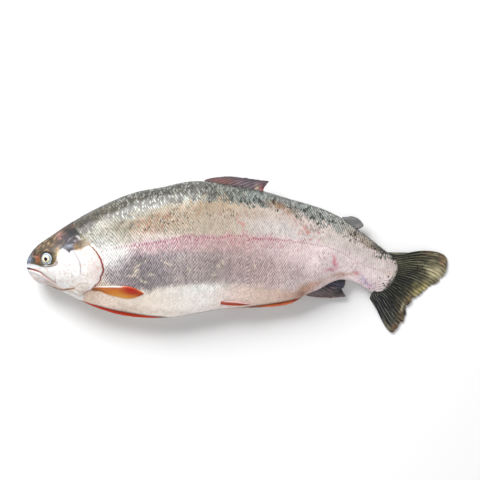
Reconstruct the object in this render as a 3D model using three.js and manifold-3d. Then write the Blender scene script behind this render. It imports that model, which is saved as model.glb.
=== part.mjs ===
// A whole gutted ocean trout, lying on its right flank with its left flank up.
// Millimetres. The head points to -X, the tail to +X, the back to +Y, and +Z is up from the surface it lies on.
// The fish is worked out in its own frame first: x from the snout, y above its straight axis towards the back.
// The finished group is then moved so that the middle of its underside is the origin.

import * as THREE from "three";
import { mergeVertices } from "three/addons/utils/BufferGeometryUtils.js";
import Module from "manifold-3d";

// The body, section by section. d is the distance from the snout along the axis, back and belly are the edges'
// heights above the axis, half is half the thickness from flank to flank, and mid is how high the middle lies.
const SECTIONS = [
  { d: 0, back: -20.6, belly: -20.6, half: 0, mid: 29 },
  { d: 6, back: -4.6, belly: -37, half: 9, mid: 29 },
  { d: 17, back: 7.6, belly: -46.8, half: 17, mid: 29.5 },
  { d: 34, back: 19.4, belly: -51.8, half: 24, mid: 30 },
  { d: 60, back: 36.8, belly: -63.2, half: 31, mid: 31 },
  { d: 94, back: 56.2, belly: -80.3, half: 37.5, mid: 33 },
  { d: 136, back: 75.4, belly: -93.4, half: 41.5, mid: 34 },
  { d: 188, back: 89.2, belly: -97.2, half: 44, mid: 35.5 },
  { d: 249, back: 97.8, belly: -89.2, half: 43.5, mid: 36 },
  { d: 284, back: 93.8, belly: -82.8, half: 41.5, mid: 35 },
  { d: 320, back: 87.2, belly: -82.6, half: 39, mid: 33.5 },
  { d: 363, back: 76.4, belly: -79.9, half: 34.5, mid: 30 },
  { d: 382, back: 70.8, belly: -74.4, half: 32, mid: 28.2 },
  { d: 398, back: 65.8, belly: -64.9, half: 29.8, mid: 26.7 },
  { d: 427, back: 56.2, belly: -52.6, half: 25, mid: 23.5 },
  { d: 461, back: 43.2, belly: -31, half: 17.5, mid: 18.5 },
  { d: 495, back: 36.5, belly: -23.6, half: 10, mid: 14.5 },
  { d: 515, back: 35, belly: -24, half: 6.5, mid: 12.5 },
];

// The tail end of the axis curls down towards the belly.
const CURL_START = 372.5;
const CURL_END = 520.4;
const CURL_ANGLE = THREE.MathUtils.degToRad(36);

// The scaly tail root is rounded off over the fin.
const ROOT_ROUND_START = 511;
const ROOT_ROUND_END = 531;

// Form of the sections.
const WIDEST_ABOVE_MIDDLE = 0.1; // of half the depth, towards the back
const BACK_FULLNESS = 0.86; // under 1 is rounder than an ellipse
const BELLY_FULLNESS = 1.06; // over 1 is more pointed
const BELLY_SAG = 12; // the emptied belly hangs down by this much
const BELLY_SAG_RISE = [60, 140];
const BELLY_SAG_FALL = [350, 430];
const PRESS_BLEND = 1.3; // how softly the pressed flank leaves the surface

// Mesh steps of the body.
const HEAD_LENGTH = 104;
const HEAD_RINGS = 22;
const TRUNK_RINGS = 34;
const ROOT_RINGS = 6;
const AROUND = 32;

// Eyes: balls set into the head.
const EYE = { x: 30.2, y: -12.4, radius: 10.5, depth: 6.6 };
const GAP = 0.3;

// The mouth: a thin cut from the tip of the snout back and down to the jaw's corner.
const MOUTH_LINE = [[-4, -25.8], [6, -27], [19, -31], [28, -37.5], [36, -43], [43, -46.5]];
const MOUTH_OPEN_FRONT = 1.8;
const MOUTH_OPEN_CORNER = 0.6;
const ACROSS_SNOUT = 90;

// The upper jaw's side plate.
const JAW_PLATE_TOP = [[19, -24.5], [27, -27], [34, -31.5], [40, -37], [43.5, -42]];
const JAW_PLATE_LOW = [[19, -29], [25, -32.5], [32, -38.5], [38, -43], [43, -44.5]];
const JAW_PLATE_PROUD = 1.4;

// The gill cover, from the line behind the cheek to its free rear rim.
const GILL_COVER_FRONT = [[70, 8], [76, -6], [79, -22], [77, -38], [66, -49], [50, -55]];
const GILL_COVER_RIM = [[85, 13], [91, 7], [100, -2], [107, -14], [110, -27], [107, -37], [103, -45], [93, -54],
  [83, -61], [74, -65]];
const GILL_COVER_PROUD = 2.8; // at its rim, and less at the ends of the rim and towards the cheek
const GILL_COVER_END = 0.35;
const GILL_COVER_CHEEK = 0.15;
const PLATE_ROOT_DEPTH = 6;

// The belly cut from behind the gills to the vent, with the flesh that shows in it.
const CUT = { start: 68, end: 398, taper: 18 };
const FLESH_DEPTH = 7; // into the belly, behind the edge of the upper flap
const FLESH_THICKNESS = 5;
const FLESH_BELOW_EDGE = 4; // its underside, below the belly's edge
const FLESH_INSET = 0.6; // from the lower flap's edge
const FLESH_ROUND = 1.2;
const FLESH_TIP = 0.3; // share of its size at its two ends
const GROOVE_PAST_EDGE = 1.2; // the groove opens outwards past the belly's edge
const FLESH_SHOWN = [
  { from: 64, to: 208, width: 7, late: 1 },
  { from: 268, to: 408, width: 6.8, late: 1.8 },
];
const FLESH_STEPS = 36;
const FLAP_CLEAR = 1; // keeps the opening off the belly's edge where no flesh shows
const OPENING_HEIGHT = 60;

// Fins, each between a root line, a front edge, a rear edge and an outer edge, in the fish's own x and y.
// half is half its thickness at the root and at the edge, and z the height of its root and of its edge. sweep is
// how far its rays lean back towards the tail, as a share of the root for the whole height of the fin.
const FINS = {
  tail: {
    root: [[508, -3], [518, -18], [517, -34], [507, -50], [493, -60]],
    front: [[508, -3], [525, -6], [537, -6], [548, -3], [565, -1], [582, -2], [594, -6], [599, -11]],
    rear: [[493, -60], [489, -68], [491, -73], [496, -78], [502, -92], [511, -109], [518, -117], [523, -118]],
    outer: [[599, -11], [600, -17], [598, -31], [588, -45], [574, -53], [559, -67], [546, -77], [543, -86],
      [540, -99], [532, -108], [523, -118]],
    across: 38, along: 7, rays: 19, ridge: 0.4, half: [3, 0.7], z: [12.5, 2.2],
  },
  dorsal: {
    root: [[250, 93.5], [282, 87], [311, 81], [335, 74]],
    front: [[250, 93.5], [254, 100]],
    rear: [[335, 74], [336, 90], [340, 95.5], [345, 98]],
    outer: [[254, 100], [264, 102.6], [278, 104.3], [289, 104.8], [306, 103.4], [326, 100.6], [345, 98]],
    across: 22, along: 5, rays: 11, sweep: 0.45, ridge: 0.3, half: [2.4, 0.8], z: [35.5, 33],
  },
  adipose: {
    root: [[443, 40], [454, 35.5], [465, 28]],
    front: [[443, 40], [450, 47.2]],
    rear: [[465, 28], [473, 30]],
    outer: [[450, 47.2], [457, 47.6], [463, 48.4], [472, 45], [478, 39], [479.5, 34], [473, 30]],
    across: 9, along: 5, rays: 0, ridge: 0, half: [2.2, 1.4], z: [20.5, 19],
  },
  anal_lower: {
    root: [[394, -58], [410, -53], [426, -46], [440, -37]],
    front: [[394, -58], [395, -64]],
    rear: [[440, -37], [446, -52], [450, -62], [455, -66.5]],
    outer: [[395, -64], [405, -66.5], [417, -68], [432, -69], [446, -68], [455, -66.5]],
    across: 16, along: 6, rays: 8, sweep: 0.45, ridge: 0.3, half: [2, 0.8], z: [14.5, 9],
  },
  anal_upper: {
    root: [[418, -50], [428, -44], [437, -37]],
    front: [[418, -50], [438, -57], [446, -56]],
    rear: [[437, -37], [446, -42], [454, -43]],
    outer: [[446, -56], [451, -54], [454, -49], [454, -43]],
    across: 8, along: 6, rays: 4, ridge: 0.3, half: [2, 0.8], z: [17.5, 16],
  },
};

// Paired fins that lie against the skin, given for the left side and repeated on the right.
const FLAT_FINS = {
  pectoral: {
    root: [[92, -51.5], [96, -58]],
    top: [[92, -51.5], [106, -50.6], [120, -50.1], [134, -50.2], [146, -51], [156, -54], [168, -61]],
    low: [[96, -58], [106, -58.5], [116, -62.8], [131, -66.8], [143, -69.4], [153, -68], [163.5, -64], [167.5, -62]],
    along: 16, across: 6, proud: 2.2, rays: 3,
  },
  pelvic: {
    root: [[276, -72.5], [275, -77]],
    top: [[276, -72.5], [287, -71.4], [304, -72.9], [319, -75.6]],
    low: [[275, -77], [289, -78.4], [305, -78.6], [318, -77.2]],
    along: 10, across: 4, proud: 1.8, rays: 2,
  },
};

const FLAT_FIN_RIDGE = 0.25;
const FLAT_FIN_SUNK = 2;

// Colours and gloss of the pieces.
const SKIN = { color: 0xb9aeb0, roughness: 0.42, metalness: 0.1 };
const FLESH = { color: 0xcf4a22, roughness: 0.35, metalness: 0 };
const EYEBALL = { color: 0xd9dcd2, roughness: 0.15, metalness: 0 };

const wasm = await Module();
wasm.setup();

const { lerp, smoothstep } = THREE.MathUtils;
const LEFT = 1;
const RIGHT = -1;

// Values between the named sections, by a cubic over the square root of the distance, which rounds the snout.
const sectionCurve = new THREE.CubicInterpolant(
  SECTIONS.map((s) => Math.sqrt(s.d)),
  SECTIONS.flatMap((s) => [s.back, s.belly, s.half, s.mid]),
  4,
  new Float32Array(4),
);

// The axis: straight, then curling down, added up in steps of one millimetre.
const axisPoints = [new THREE.Vector3(0, 0, 0)];
for (let d = 1; d <= ROOT_ROUND_END; d++) {
  const turn = CURL_ANGLE * smoothstep(d - 0.5, CURL_START, CURL_END);
  const last = axisPoints[d - 1];
  axisPoints.push(new THREE.Vector3(last.x + Math.cos(turn), last.y - Math.sin(turn), 0));
}

// Everything about the body's section at a distance d.
function sectionAt(d) {
  const [back, belly, half, mid] = sectionCurve.evaluate(Math.sqrt(Math.min(d, SECTIONS.at(-1).d)));
  const rounding = Math.max(0, (d - ROOT_ROUND_START) / (ROOT_ROUND_END - ROOT_ROUND_START));
  const kept = Math.sqrt(Math.max(0, 1 - rounding * rounding));
  const step = Math.min(Math.floor(d), axisPoints.length - 2);
  const turn = CURL_ANGLE * smoothstep(d, CURL_START, CURL_END);
  return {
    axis: axisPoints[step].clone().lerp(axisPoints[step + 1], d - step),
    outward: new THREE.Vector3(Math.sin(turn), Math.cos(turn), 0),
    centre: (back + belly) / 2,
    depth: (kept * (back - belly)) / 2,
    half: kept * half,
    mid,
    sag: BELLY_SAG * smoothstep(d, ...BELLY_SAG_RISE) * (1 - smoothstep(d, ...BELLY_SAG_FALL)),
  };
}

// The surface pushes the flank that would lie below it up to its own height.
function pressed(z) {
  if (z <= -PRESS_BLEND) return 0;
  return z < PRESS_BLEND ? (z + PRESS_BLEND) ** 2 / (4 * PRESS_BLEND) : z;
}

// A point of the skin: angle 0 is the left flank, a quarter turn the back. grow moves it outwards.
function skinPoint(d, angle, grow = 0) {
  const s = sectionAt(d);
  const up = Math.sin(angle);
  const side = Math.cos(angle);
  const height = s.centre + (s.depth + grow) * (up + WIDEST_ABOVE_MIDDLE * side * side);
  const fullness = lerp(BELLY_FULLNESS, BACK_FULLNESS, smoothstep(up, -0.6, 0.6));
  const middle = s.mid - s.sag * smoothstep(-up, 0, 1);
  const z = middle + (s.half + grow) * Math.sign(side) * Math.abs(side) ** fullness;
  const point = s.axis.clone().addScaledVector(s.outward, height);
  return point.setZ(pressed(z));
}

// The same, found by place on the flank where the axis is straight: side is LEFT or RIGHT.
function flankPoint(x, y, side, grow = 0) {
  const s = sectionAt(x);
  const k = WIDEST_ABOVE_MIDDLE;
  const level = THREE.MathUtils.clamp((y - s.centre) / s.depth, -1, 1);
  const up = (1 - Math.sqrt(1 - 4 * k * (level - k))) / (2 * k);
  const angle = Math.asin(THREE.MathUtils.clamp(up, -1, 1));
  return skinPoint(x, side === LEFT ? angle : Math.PI - angle, grow);
}

// A closed geometry as a solid, without the flat triangles that meeting edges leave.
function solidOf(geometry) {
  const plain = new THREE.BufferGeometry();
  plain.setAttribute("position", geometry.getAttribute("position").clone());
  plain.setIndex(geometry.index);
  const merged = mergeVertices(plain, 1e-4);
  const corners = merged.index.array;
  const kept = [];
  for (let i = 0; i < corners.length; i += 3) {
    const [a, b, c] = corners.slice(i, i + 3);
    if (a !== b && b !== c && c !== a) kept.push(a, b, c);
  }
  const mesh = new wasm.Mesh({
    numProp: 3,
    vertProperties: Float32Array.from(merged.attributes.position.array),
    triVerts: Uint32Array.from(kept),
  });
  const solid = new wasm.Manifold(mesh);
  if (solid.volume() > 0) return solid;
  for (let i = 0; i < kept.length; i += 3) [kept[i + 1], kept[i + 2]] = [kept[i + 2], kept[i + 1]];
  mesh.triVerts = Uint32Array.from(kept);
  return new wasm.Manifold(mesh);
}

// Two triangles for the cell between four corners.
function cell(index, a, b, c, d) {
  index.push(a, b, c, a, c, d);
}

function geometryOf(points, index) {
  const geometry = new THREE.BufferGeometry();
  geometry.setAttribute("position", new THREE.Float32BufferAttribute(points.flatMap((p) => p.toArray()), 3));
  geometry.setIndex(index);
  return geometry;
}

// A solid skinned over rings of points, each ring closed, with its ends closed by fans.
function loft(rings) {
  const count = rings[0].length;
  const points = rings.flat();
  const index = [];
  for (let i = 0; i + 1 < rings.length; i++) {
    for (let j = 0; j < count; j++) {
      const next = (j + 1) % count;
      cell(index, i * count + j, (i + 1) * count + j, (i + 1) * count + next, i * count + next);
    }
  }
  const last = (rings.length - 1) * count;
  for (let j = 1; j + 1 < count; j++) {
    index.push(0, j, j + 1);
    index.push(last, last + j + 1, last + j);
  }
  return solidOf(geometryOf(points, index));
}

// A solid between an upper and a lower face over the same grid: place(u, v, face) gives a point, face is 1 or -1.
function slab(across, along, place) {
  const width = along + 1;
  const face = (across + 1) * width;
  const points = [];
  for (const side of [1, -1]) {
    for (let i = 0; i <= across; i++) {
      for (let j = 0; j <= along; j++) points.push(place(i / across, j / along, side));
    }
  }
  const index = [];
  const at = (i, j) => i * width + j;
  for (let i = 0; i < across; i++) {
    for (let j = 0; j < along; j++) {
      cell(index, at(i, j), at(i + 1, j), at(i + 1, j + 1), at(i, j + 1));
      cell(index, face + at(i, j), face + at(i, j + 1), face + at(i + 1, j + 1), face + at(i + 1, j));
    }
    cell(index, at(i, 0), face + at(i, 0), face + at(i + 1, 0), at(i + 1, 0));
    cell(index, at(i, along), at(i + 1, along), face + at(i + 1, along), face + at(i, along));
  }
  for (let j = 0; j < along; j++) {
    cell(index, at(0, j), at(0, j + 1), face + at(0, j + 1), face + at(0, j));
    cell(index, at(across, j), face + at(across, j), face + at(across, j + 1), at(across, j + 1));
  }
  return solidOf(geometryOf(points, index));
}

// A smooth line through points, as a function of how far along it is, from 0 to 1.
function line(points) {
  const curve = new THREE.SplineCurve(points.map(([x, y]) => new THREE.Vector2(x, y)));
  return (t) => curve.getPointAt(t);
}

// The patch between four lines that meet at their ends: u runs along root and outer, v along front and rear.
function patch({ root, outer, front, rear }) {
  const [low, high, first, last] = [root, outer, front, rear].map(line);
  return (u, v) => {
    const between = low(u).multiplyScalar(1 - v).addScaledVector(high(u), v);
    between.addScaledVector(first(v), 1 - u).addScaledVector(last(v), u);
    between.addScaledVector(low(0), -(1 - u) * (1 - v)).addScaledVector(low(1), -u * (1 - v));
    return between.addScaledVector(high(0), -(1 - u) * v).addScaledVector(high(1), -u * v);
  };
}

function body() {
  const distances = [];
  for (let i = 0; i < HEAD_RINGS; i++) distances.push(HEAD_LENGTH * (i / HEAD_RINGS) ** 1.5);
  for (let i = 0; i < TRUNK_RINGS; i++) distances.push(lerp(HEAD_LENGTH, ROOT_ROUND_START, i / TRUNK_RINGS));
  for (let i = 0; i <= ROOT_RINGS; i++) {
    const along = Math.sin((i / ROOT_RINGS) * (Math.PI / 2));
    distances.push(lerp(ROOT_ROUND_START, ROOT_ROUND_END, along));
  }
  const rings = distances.map((d) =>
    Array.from({ length: AROUND }, (_, j) => skinPoint(d, (j / AROUND) * 2 * Math.PI)),
  );
  return loft(rings);
}

function fin(form) {
  const place = patch(form);
  return slab(form.across, form.along, (u, v, face) => {
    const point = place(u, v);
    const ray = form.rays * (u - (form.sweep ?? 0) * v);
    const ridge = form.ridge * Math.cos(2 * Math.PI * ray) * smoothstep(v, 0, 0.3);
    const z = lerp(...form.z, smoothstep(v, 0, 1)) + face * (lerp(...form.half, Math.sqrt(v)) + ridge);
    return new THREE.Vector3(point.x, point.y, z);
  });
}

function flatFin(form, side) {
  const place = patch({ root: form.root, front: form.top, rear: form.low, outer: [form.top.at(-1), form.low.at(-1)] });
  return slab(form.across, form.along, (u, v, face) => {
    const point = place(u, v);
    const ridge = FLAT_FIN_RIDGE * Math.cos(2 * Math.PI * form.rays * u);
    const lifted = form.proud * Math.sqrt(Math.min(1, 4 * v)) + ridge;
    return flankPoint(point.x, point.y, side, face > 0 ? lifted : -FLAT_FIN_SUNK);
  });
}

function gillCover(side) {
  const place = patch({
    root: GILL_COVER_FRONT,
    outer: GILL_COVER_RIM,
    front: [GILL_COVER_FRONT[0], GILL_COVER_RIM[0]],
    rear: [GILL_COVER_FRONT.at(-1), GILL_COVER_RIM.at(-1)],
  });
  return slab(16, 5, (u, v, face) => {
    const point = place(u, v);
    const rim = GILL_COVER_PROUD * lerp(GILL_COVER_END, 1, Math.sin(Math.PI * u));
    const grow = face > 0 ? rim * lerp(GILL_COVER_CHEEK, 1, v) : -PLATE_ROOT_DEPTH;
    return flankPoint(point.x, point.y, side, grow);
  });
}

function jawPlate(side) {
  const place = patch({
    root: [JAW_PLATE_TOP[0], JAW_PLATE_LOW[0]],
    outer: [JAW_PLATE_TOP.at(-1), JAW_PLATE_LOW.at(-1)],
    front: JAW_PLATE_TOP,
    rear: JAW_PLATE_LOW,
  });
  return slab(4, 9, (u, v, face) => {
    const point = place(u, v);
    const crown = Math.sin(Math.PI * lerp(0.12, 0.88, u)) * Math.min(1, 3 * v + 0.2);
    return flankPoint(point.x, point.y, side, face > 0 ? JAW_PLATE_PROUD * crown : -PLATE_ROOT_DEPTH);
  });
}

// The cut that parts the lips, through the whole width of the snout.
function mouthCut() {
  const middle = line(MOUTH_LINE);
  const upper = [];
  const lower = [];
  for (let t = 0; t <= 1; t += 0.1) {
    const point = middle(Math.min(t, 1));
    const half = lerp(MOUTH_OPEN_FRONT, MOUTH_OPEN_CORNER, t) / 2;
    upper.push(new THREE.Vector2(point.x, point.y + half));
    lower.push(new THREE.Vector2(point.x - half, point.y - half));
  }
  const shape = new THREE.Shape([...upper, ...lower.reverse()]);
  return solidOf(new THREE.ExtrudeGeometry(shape, { depth: ACROSS_SNOUT, bevelEnabled: false }));
}

// A ball pushed into the head along the skin's normal.
function eyeBall(side, radius) {
  const skin = flankPoint(EYE.x, EYE.y, side);
  const along = flankPoint(EYE.x + 1, EYE.y, side).sub(skin);
  const up = flankPoint(EYE.x, EYE.y + 1, side).sub(skin);
  const middle = skin.clone().addScaledVector(along.cross(up).normalize(), -side * EYE.depth);
  const geometry = new THREE.SphereGeometry(radius, 18, 12);
  geometry.rotateX(Math.PI / 2).translate(middle.x, middle.y, middle.z);
  return solidOf(geometry);
}

// How wide a band of flesh shows beyond the upper flap's edge, seen from above.
function fleshShown(d) {
  let width = 0;
  for (const stretch of FLESH_SHOWN) {
    const t = THREE.MathUtils.clamp((d - stretch.from) / (stretch.to - stretch.from), 0, 1);
    width += stretch.width * Math.sin(Math.PI * t ** stretch.late);
  }
  return width;
}

// A band along the belly cut. section gives its four corners as [height above the axis, z].
function belt(from, to, section) {
  const rings = [];
  for (let i = 0; i <= FLESH_STEPS; i++) {
    const d = lerp(from, to, i / FLESH_STEPS);
    const s = sectionAt(d);
    const edge = { height: s.centre - s.depth, z: s.mid - s.sag };
    rings.push(
      section(d, edge).map(([height, z]) => s.axis.clone().addScaledVector(s.outward, height).setZ(z)),
    );
  }
  return loft(rings);
}

// The flesh itself, or with clear above 0 the groove that it lies in.
function fleshBand(clear) {
  return belt(CUT.start - clear, CUT.end + clear, (d, edge) => {
    const started = smoothstep(d, CUT.start, CUT.start + CUT.taper);
    const left = 1 - smoothstep(d, CUT.end - CUT.taper, CUT.end);
    const taper = lerp(FLESH_TIP, 1, Math.min(started, left));
    const inner = edge.height + fleshShown(d) + FLESH_DEPTH * taper + clear;
    const outer = edge.height + (clear > 0 ? -GROOVE_PAST_EDGE : FLESH_INSET);
    const low = edge.z - FLESH_BELOW_EDGE * taper - clear;
    const high = edge.z + (FLESH_THICKNESS - FLESH_BELOW_EDGE) * taper + clear;
    const round = FLESH_ROUND * taper;
    return [
      [inner, high - round], [inner, low + round], [inner - round, low], [outer + round, low],
      [outer, low + round], [outer, high - round], [outer + round, high], [inner - round, high],
    ];
  });
}

// What the shorter upper flap leaves open above the flesh.
function flapOpening() {
  return belt(CUT.start, CUT.end, (d, edge) => {
    const flap = edge.height + fleshShown(d) - FLAP_CLEAR;
    const outside = edge.height - FLESH_DEPTH;
    return [[flap, edge.z], [outside, edge.z], [outside, edge.z + OPENING_HEIGHT], [flap, edge.z + OPENING_HEIGHT]];
  });
}

// The largest of the bodies that cutting leaves.
function wholePiece(solid) {
  return solid.decompose().reduce((a, b) => (b.volume() > a.volume() ? b : a));
}

function trout() {
  let fish = body();
  for (const side of [LEFT, RIGHT]) {
    fish = fish.add(gillCover(side)).add(jawPlate(side));
    for (const form of Object.values(FLAT_FINS)) fish = fish.add(flatFin(form, side));
  }
  for (const form of Object.values(FINS)) fish = fish.add(fin(form));
  for (const side of [LEFT, RIGHT]) fish = fish.subtract(eyeBall(side, EYE.radius + GAP));
  fish = fish.subtract(mouthCut()).subtract(flapOpening()).subtract(fleshBand(GAP));
  return wholePiece(fish);
}

function named(name, solid, finish) {
  const mesh = solid.getMesh();
  const geometry = new THREE.BufferGeometry();
  geometry.setAttribute("position", new THREE.Float32BufferAttribute(mesh.vertProperties, 3));
  geometry.setIndex(new THREE.BufferAttribute(mesh.triVerts, 1));
  geometry.computeVertexNormals();
  const made = new THREE.Mesh(geometry, new THREE.MeshStandardMaterial(finish));
  made.name = name;
  return made;
}

const fish = new THREE.Group();
fish.add(
  named("trout", trout(), SKIN),
  named("belly_flesh", fleshBand(0), FLESH),
  named("eye_left", eyeBall(LEFT, EYE.radius), EYEBALL),
  named("eye_right", eyeBall(RIGHT, EYE.radius), EYEBALL),
);

const box = new THREE.Box3().setFromObject(fish);
const middle = box.getCenter(new THREE.Vector3());
fish.position.set(-middle.x, -middle.y, -box.min.z);

export default fish;
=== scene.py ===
import math

import bpy
import numpy as np
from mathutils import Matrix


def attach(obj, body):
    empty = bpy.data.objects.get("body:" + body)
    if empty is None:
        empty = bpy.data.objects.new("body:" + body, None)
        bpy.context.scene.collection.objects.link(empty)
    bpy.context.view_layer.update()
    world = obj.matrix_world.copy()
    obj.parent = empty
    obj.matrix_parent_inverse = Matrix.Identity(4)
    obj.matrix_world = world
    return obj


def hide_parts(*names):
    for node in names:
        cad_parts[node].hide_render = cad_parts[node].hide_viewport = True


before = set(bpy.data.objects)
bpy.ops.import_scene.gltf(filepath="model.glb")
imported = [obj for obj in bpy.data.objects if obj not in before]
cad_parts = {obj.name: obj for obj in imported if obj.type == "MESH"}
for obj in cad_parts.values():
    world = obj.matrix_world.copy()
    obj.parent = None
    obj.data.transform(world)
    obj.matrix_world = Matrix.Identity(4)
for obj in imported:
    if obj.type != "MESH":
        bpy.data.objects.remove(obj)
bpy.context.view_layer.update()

# The skin: one tough hide over the whole body, from the snout to the scaly root of the tail. The trout lies
# on its right flank, pressed a little flat there, and its belly is slit from the throat to the vent. Places
# are in millimetres of its own frame: x from the snout, y up from its axis, z off the table.
SECTIONS = np.array([
    # along the axis, back edge, belly edge, half the thickness, height of the middle
    [0, -20.6, -20.6, 0, 29],
    [6, -4.6, -37, 9, 29],
    [17, 7.6, -46.8, 17, 29.5],
    [34, 19.4, -51.8, 24, 30],
    [60, 36.8, -63.2, 31, 31],
    [94, 56.2, -80.3, 37.5, 33],
    [136, 75.4, -93.4, 41.5, 34],
    [188, 89.2, -97.2, 44, 35.5],
    [249, 97.8, -89.2, 43.5, 36],
    [284, 93.8, -82.8, 41.5, 35],
    [320, 87.2, -82.6, 39, 33.5],
    [363, 76.4, -79.9, 34.5, 30],
    [382, 70.8, -74.4, 32, 28.2],
    [398, 65.8, -64.9, 29.8, 26.7],
    [427, 56.2, -52.6, 25, 23.5],
    [461, 43.2, -31, 17.5, 18.5],
    [495, 36.5, -23.6, 10, 14.5],
    [515, 35, -24, 6.5, 12.5],
])
CURL_FROM = 372.5
CURL_TO = 520.4
CURL_ANGLE = math.radians(36)
ROOT_ROUND_FROM = 511
ROOT_ROUND_TO = 531
WIDEST_UP = 0.1
BACK_FULLNESS = 0.86
BELLY_FULLNESS = 1.06
SAG = 12
SAG_RISE = (60, 140)
SAG_FALL = (350, 430)
PRESS = 1.3
FISH_MIDDLE = np.array([300, -6.75, 0])
MM = 0.001


def rise(x, low, high):
    """A smooth step: t*t*(3 - 2t), where t is the share of the way from low to high."""
    t = np.clip((x - low) / (high - low), 0, 1)
    return t * t * (3 - 2 * t)


def lerp(a, b, t):
    """The value a share t of the way from a to b."""
    return a + (b - a) * t


def through(stations, values, x):
    """A smooth run of values: cubic pieces, whose slope at a station is the mean of the slopes on its two
    sides."""
    x = np.clip(x, stations[0], stations[-1])
    steps = np.diff(stations)
    secants = np.diff(values, axis=0) / steps[:, None]
    slopes = np.concatenate([secants[:1], (secants[1:] + secants[:-1]) / 2, secants[-1:]])
    i = np.clip(np.searchsorted(stations, x, side="right") - 1, 0, len(steps) - 1)
    h = steps[i][..., None]
    t = ((x - stations[i]) / steps[i])[..., None]
    ends = (1 + 2 * t) * (1 - t) ** 2 * values[i] + t * t * (3 - 2 * t) * values[i + 1]
    return ends + h * t * (1 - t) * ((1 - t) * slopes[i] - t * slopes[i + 1])


axis_steps = np.arange(ROOT_ROUND_TO + 1)
axis_turns = CURL_ANGLE * rise(axis_steps[1:] - 0.5, CURL_FROM, CURL_TO)
axis_x = np.concatenate([[0], np.cumsum(np.cos(axis_turns))])
axis_y = np.concatenate([[0], -np.cumsum(np.sin(axis_turns))])


def on_axis(d, height, z):
    """The point at a height square to the axis, at a distance d along it."""
    turn = CURL_ANGLE * rise(d, CURL_FROM, CURL_TO)
    x = np.interp(d, axis_steps, axis_x) + np.sin(turn) * height
    y = np.interp(d, axis_steps, axis_y) + np.cos(turn) * height
    return np.stack(np.broadcast_arrays(x, y, z), axis=-1)


def section_at(d):
    """The section's centre, half depth, half thickness, middle and sag. The root closes as a quarter
    ellipse."""
    sizes = through(np.sqrt(SECTIONS[:, 0]), SECTIONS[:, 1:], np.sqrt(d))
    back, belly, half, mid = np.moveaxis(sizes, -1, 0)
    over = np.clip((d - ROOT_ROUND_FROM) / (ROOT_ROUND_TO - ROOT_ROUND_FROM), 0, 1)
    kept = np.sqrt(1 - over ** 2)
    sag = SAG * rise(d, *SAG_RISE) * (1 - rise(d, *SAG_FALL))
    return (back + belly) / 2, kept * (back - belly) / 2, kept * half, mid, sag


def pressed(z):
    """What would lie below the table is flattened on it: (z + p)^2 / 4p from -p to p, so that it leaves
    softly."""
    soft = (z + PRESS) ** 2 / (4 * PRESS)
    return np.where(z <= -PRESS, 0, np.where(z < PRESS, soft, z))


def skin_point(d, angle, grow=0.0):
    """A point of the skin. Angle 0 is the left flank and a quarter turn the back. With s its sine and c its
    cosine, height = centre + depth (s + k c^2), and z = middle - sag + half c^fullness, where the sag comes
    in towards the belly. grow moves it outwards."""
    centre, depth, half, mid, sag = section_at(d)
    up = np.sin(angle)
    side = np.cos(angle)
    height = centre + (depth + grow) * (up + WIDEST_UP * side ** 2)
    fullness = lerp(BELLY_FULLNESS, BACK_FULLNESS, rise(up, -0.6, 0.6))
    z = mid - sag * rise(-up, 0, 1) + (half + grow) * np.sign(side) * np.abs(side) ** fullness
    return on_axis(d, height, pressed(z))


def angle_at(level):
    """The angle, on the left side, of a height given as a share of the half depth from the section's
    centre."""
    k = WIDEST_UP
    up = (1 - np.sqrt(1 - 4 * k * (np.clip(level, -1, 1) - k))) / (2 * k)
    return np.arcsin(np.clip(up, -1, 1))


# The slit: the upper flap falls short of the lower one by width * sin(pi t^late) along each stretch.
CUT_FROM = 68
CUT_TO = 398
CUT_TAPER = 18
CUT_TIP = 0.02
FLESH_SHOWN = ((64, 208, 7, 1), (268, 408, 6.8, 1.8))
FLAP_THICKNESS = 3.4


def flesh_shown(d):
    """How far the flesh shows beyond the upper flap's edge."""
    width = 0
    for start, end, most, late in FLESH_SHOWN:
        t = np.clip((d - start) / (end - start), 0, 1)
        width = width + most * np.sin(np.pi * t ** late)
    return width


def cut_share(d):
    """1 along the slit, falling smoothly towards 0 at its two ends."""
    return rise(d, CUT_FROM, CUT_FROM + CUT_TAPER) * (1 - rise(d, CUT_TO - CUT_TAPER, CUT_TO))


def ripple(points, size, seed):
    """Soft random waves of about -1 to 1: nine sines of random direction and phase, with lengths near
    size."""
    chance = np.random.default_rng(seed)
    total = np.zeros(points.shape[:-1])
    for _ in range(9):
        direction = chance.normal(size=3)
        length = size * chance.uniform(0.7, 1.5)
        direction = direction * 2 * np.pi / (length * np.linalg.norm(direction))
        total = total + np.sin(points @ direction + chance.uniform(0, 2 * np.pi))
    return total / 3


def line(points, t):
    """Places on a smooth line through points, at shares t of its length: Catmull-Rom pieces measured by
    arc."""
    points = np.asarray(points, float)
    slopes = np.gradient(points, axis=0)
    slopes[0] = (points[1] - points[0]) / 2
    slopes[-1] = (points[-1] - points[-2]) / 2
    fine = np.linspace(0, len(points) - 1, 60 * (len(points) - 1) + 1)
    i = np.clip(fine.astype(int), 0, len(points) - 2)
    s = (fine - i)[:, None]
    run = (1 + 2 * s) * (1 - s) ** 2 * points[i] + s * s * (3 - 2 * s) * points[i + 1]
    run = run + s * (1 - s) * ((1 - s) * slopes[i] - s * slopes[i + 1])
    reached = np.concatenate([[0], np.cumsum(np.hypot(*np.diff(run, axis=0).T))])
    at = np.asarray(t) * reached[-1]
    return np.stack([np.interp(at, reached, run[:, 0]), np.interp(at, reached, run[:, 1])], axis=-1)


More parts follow.
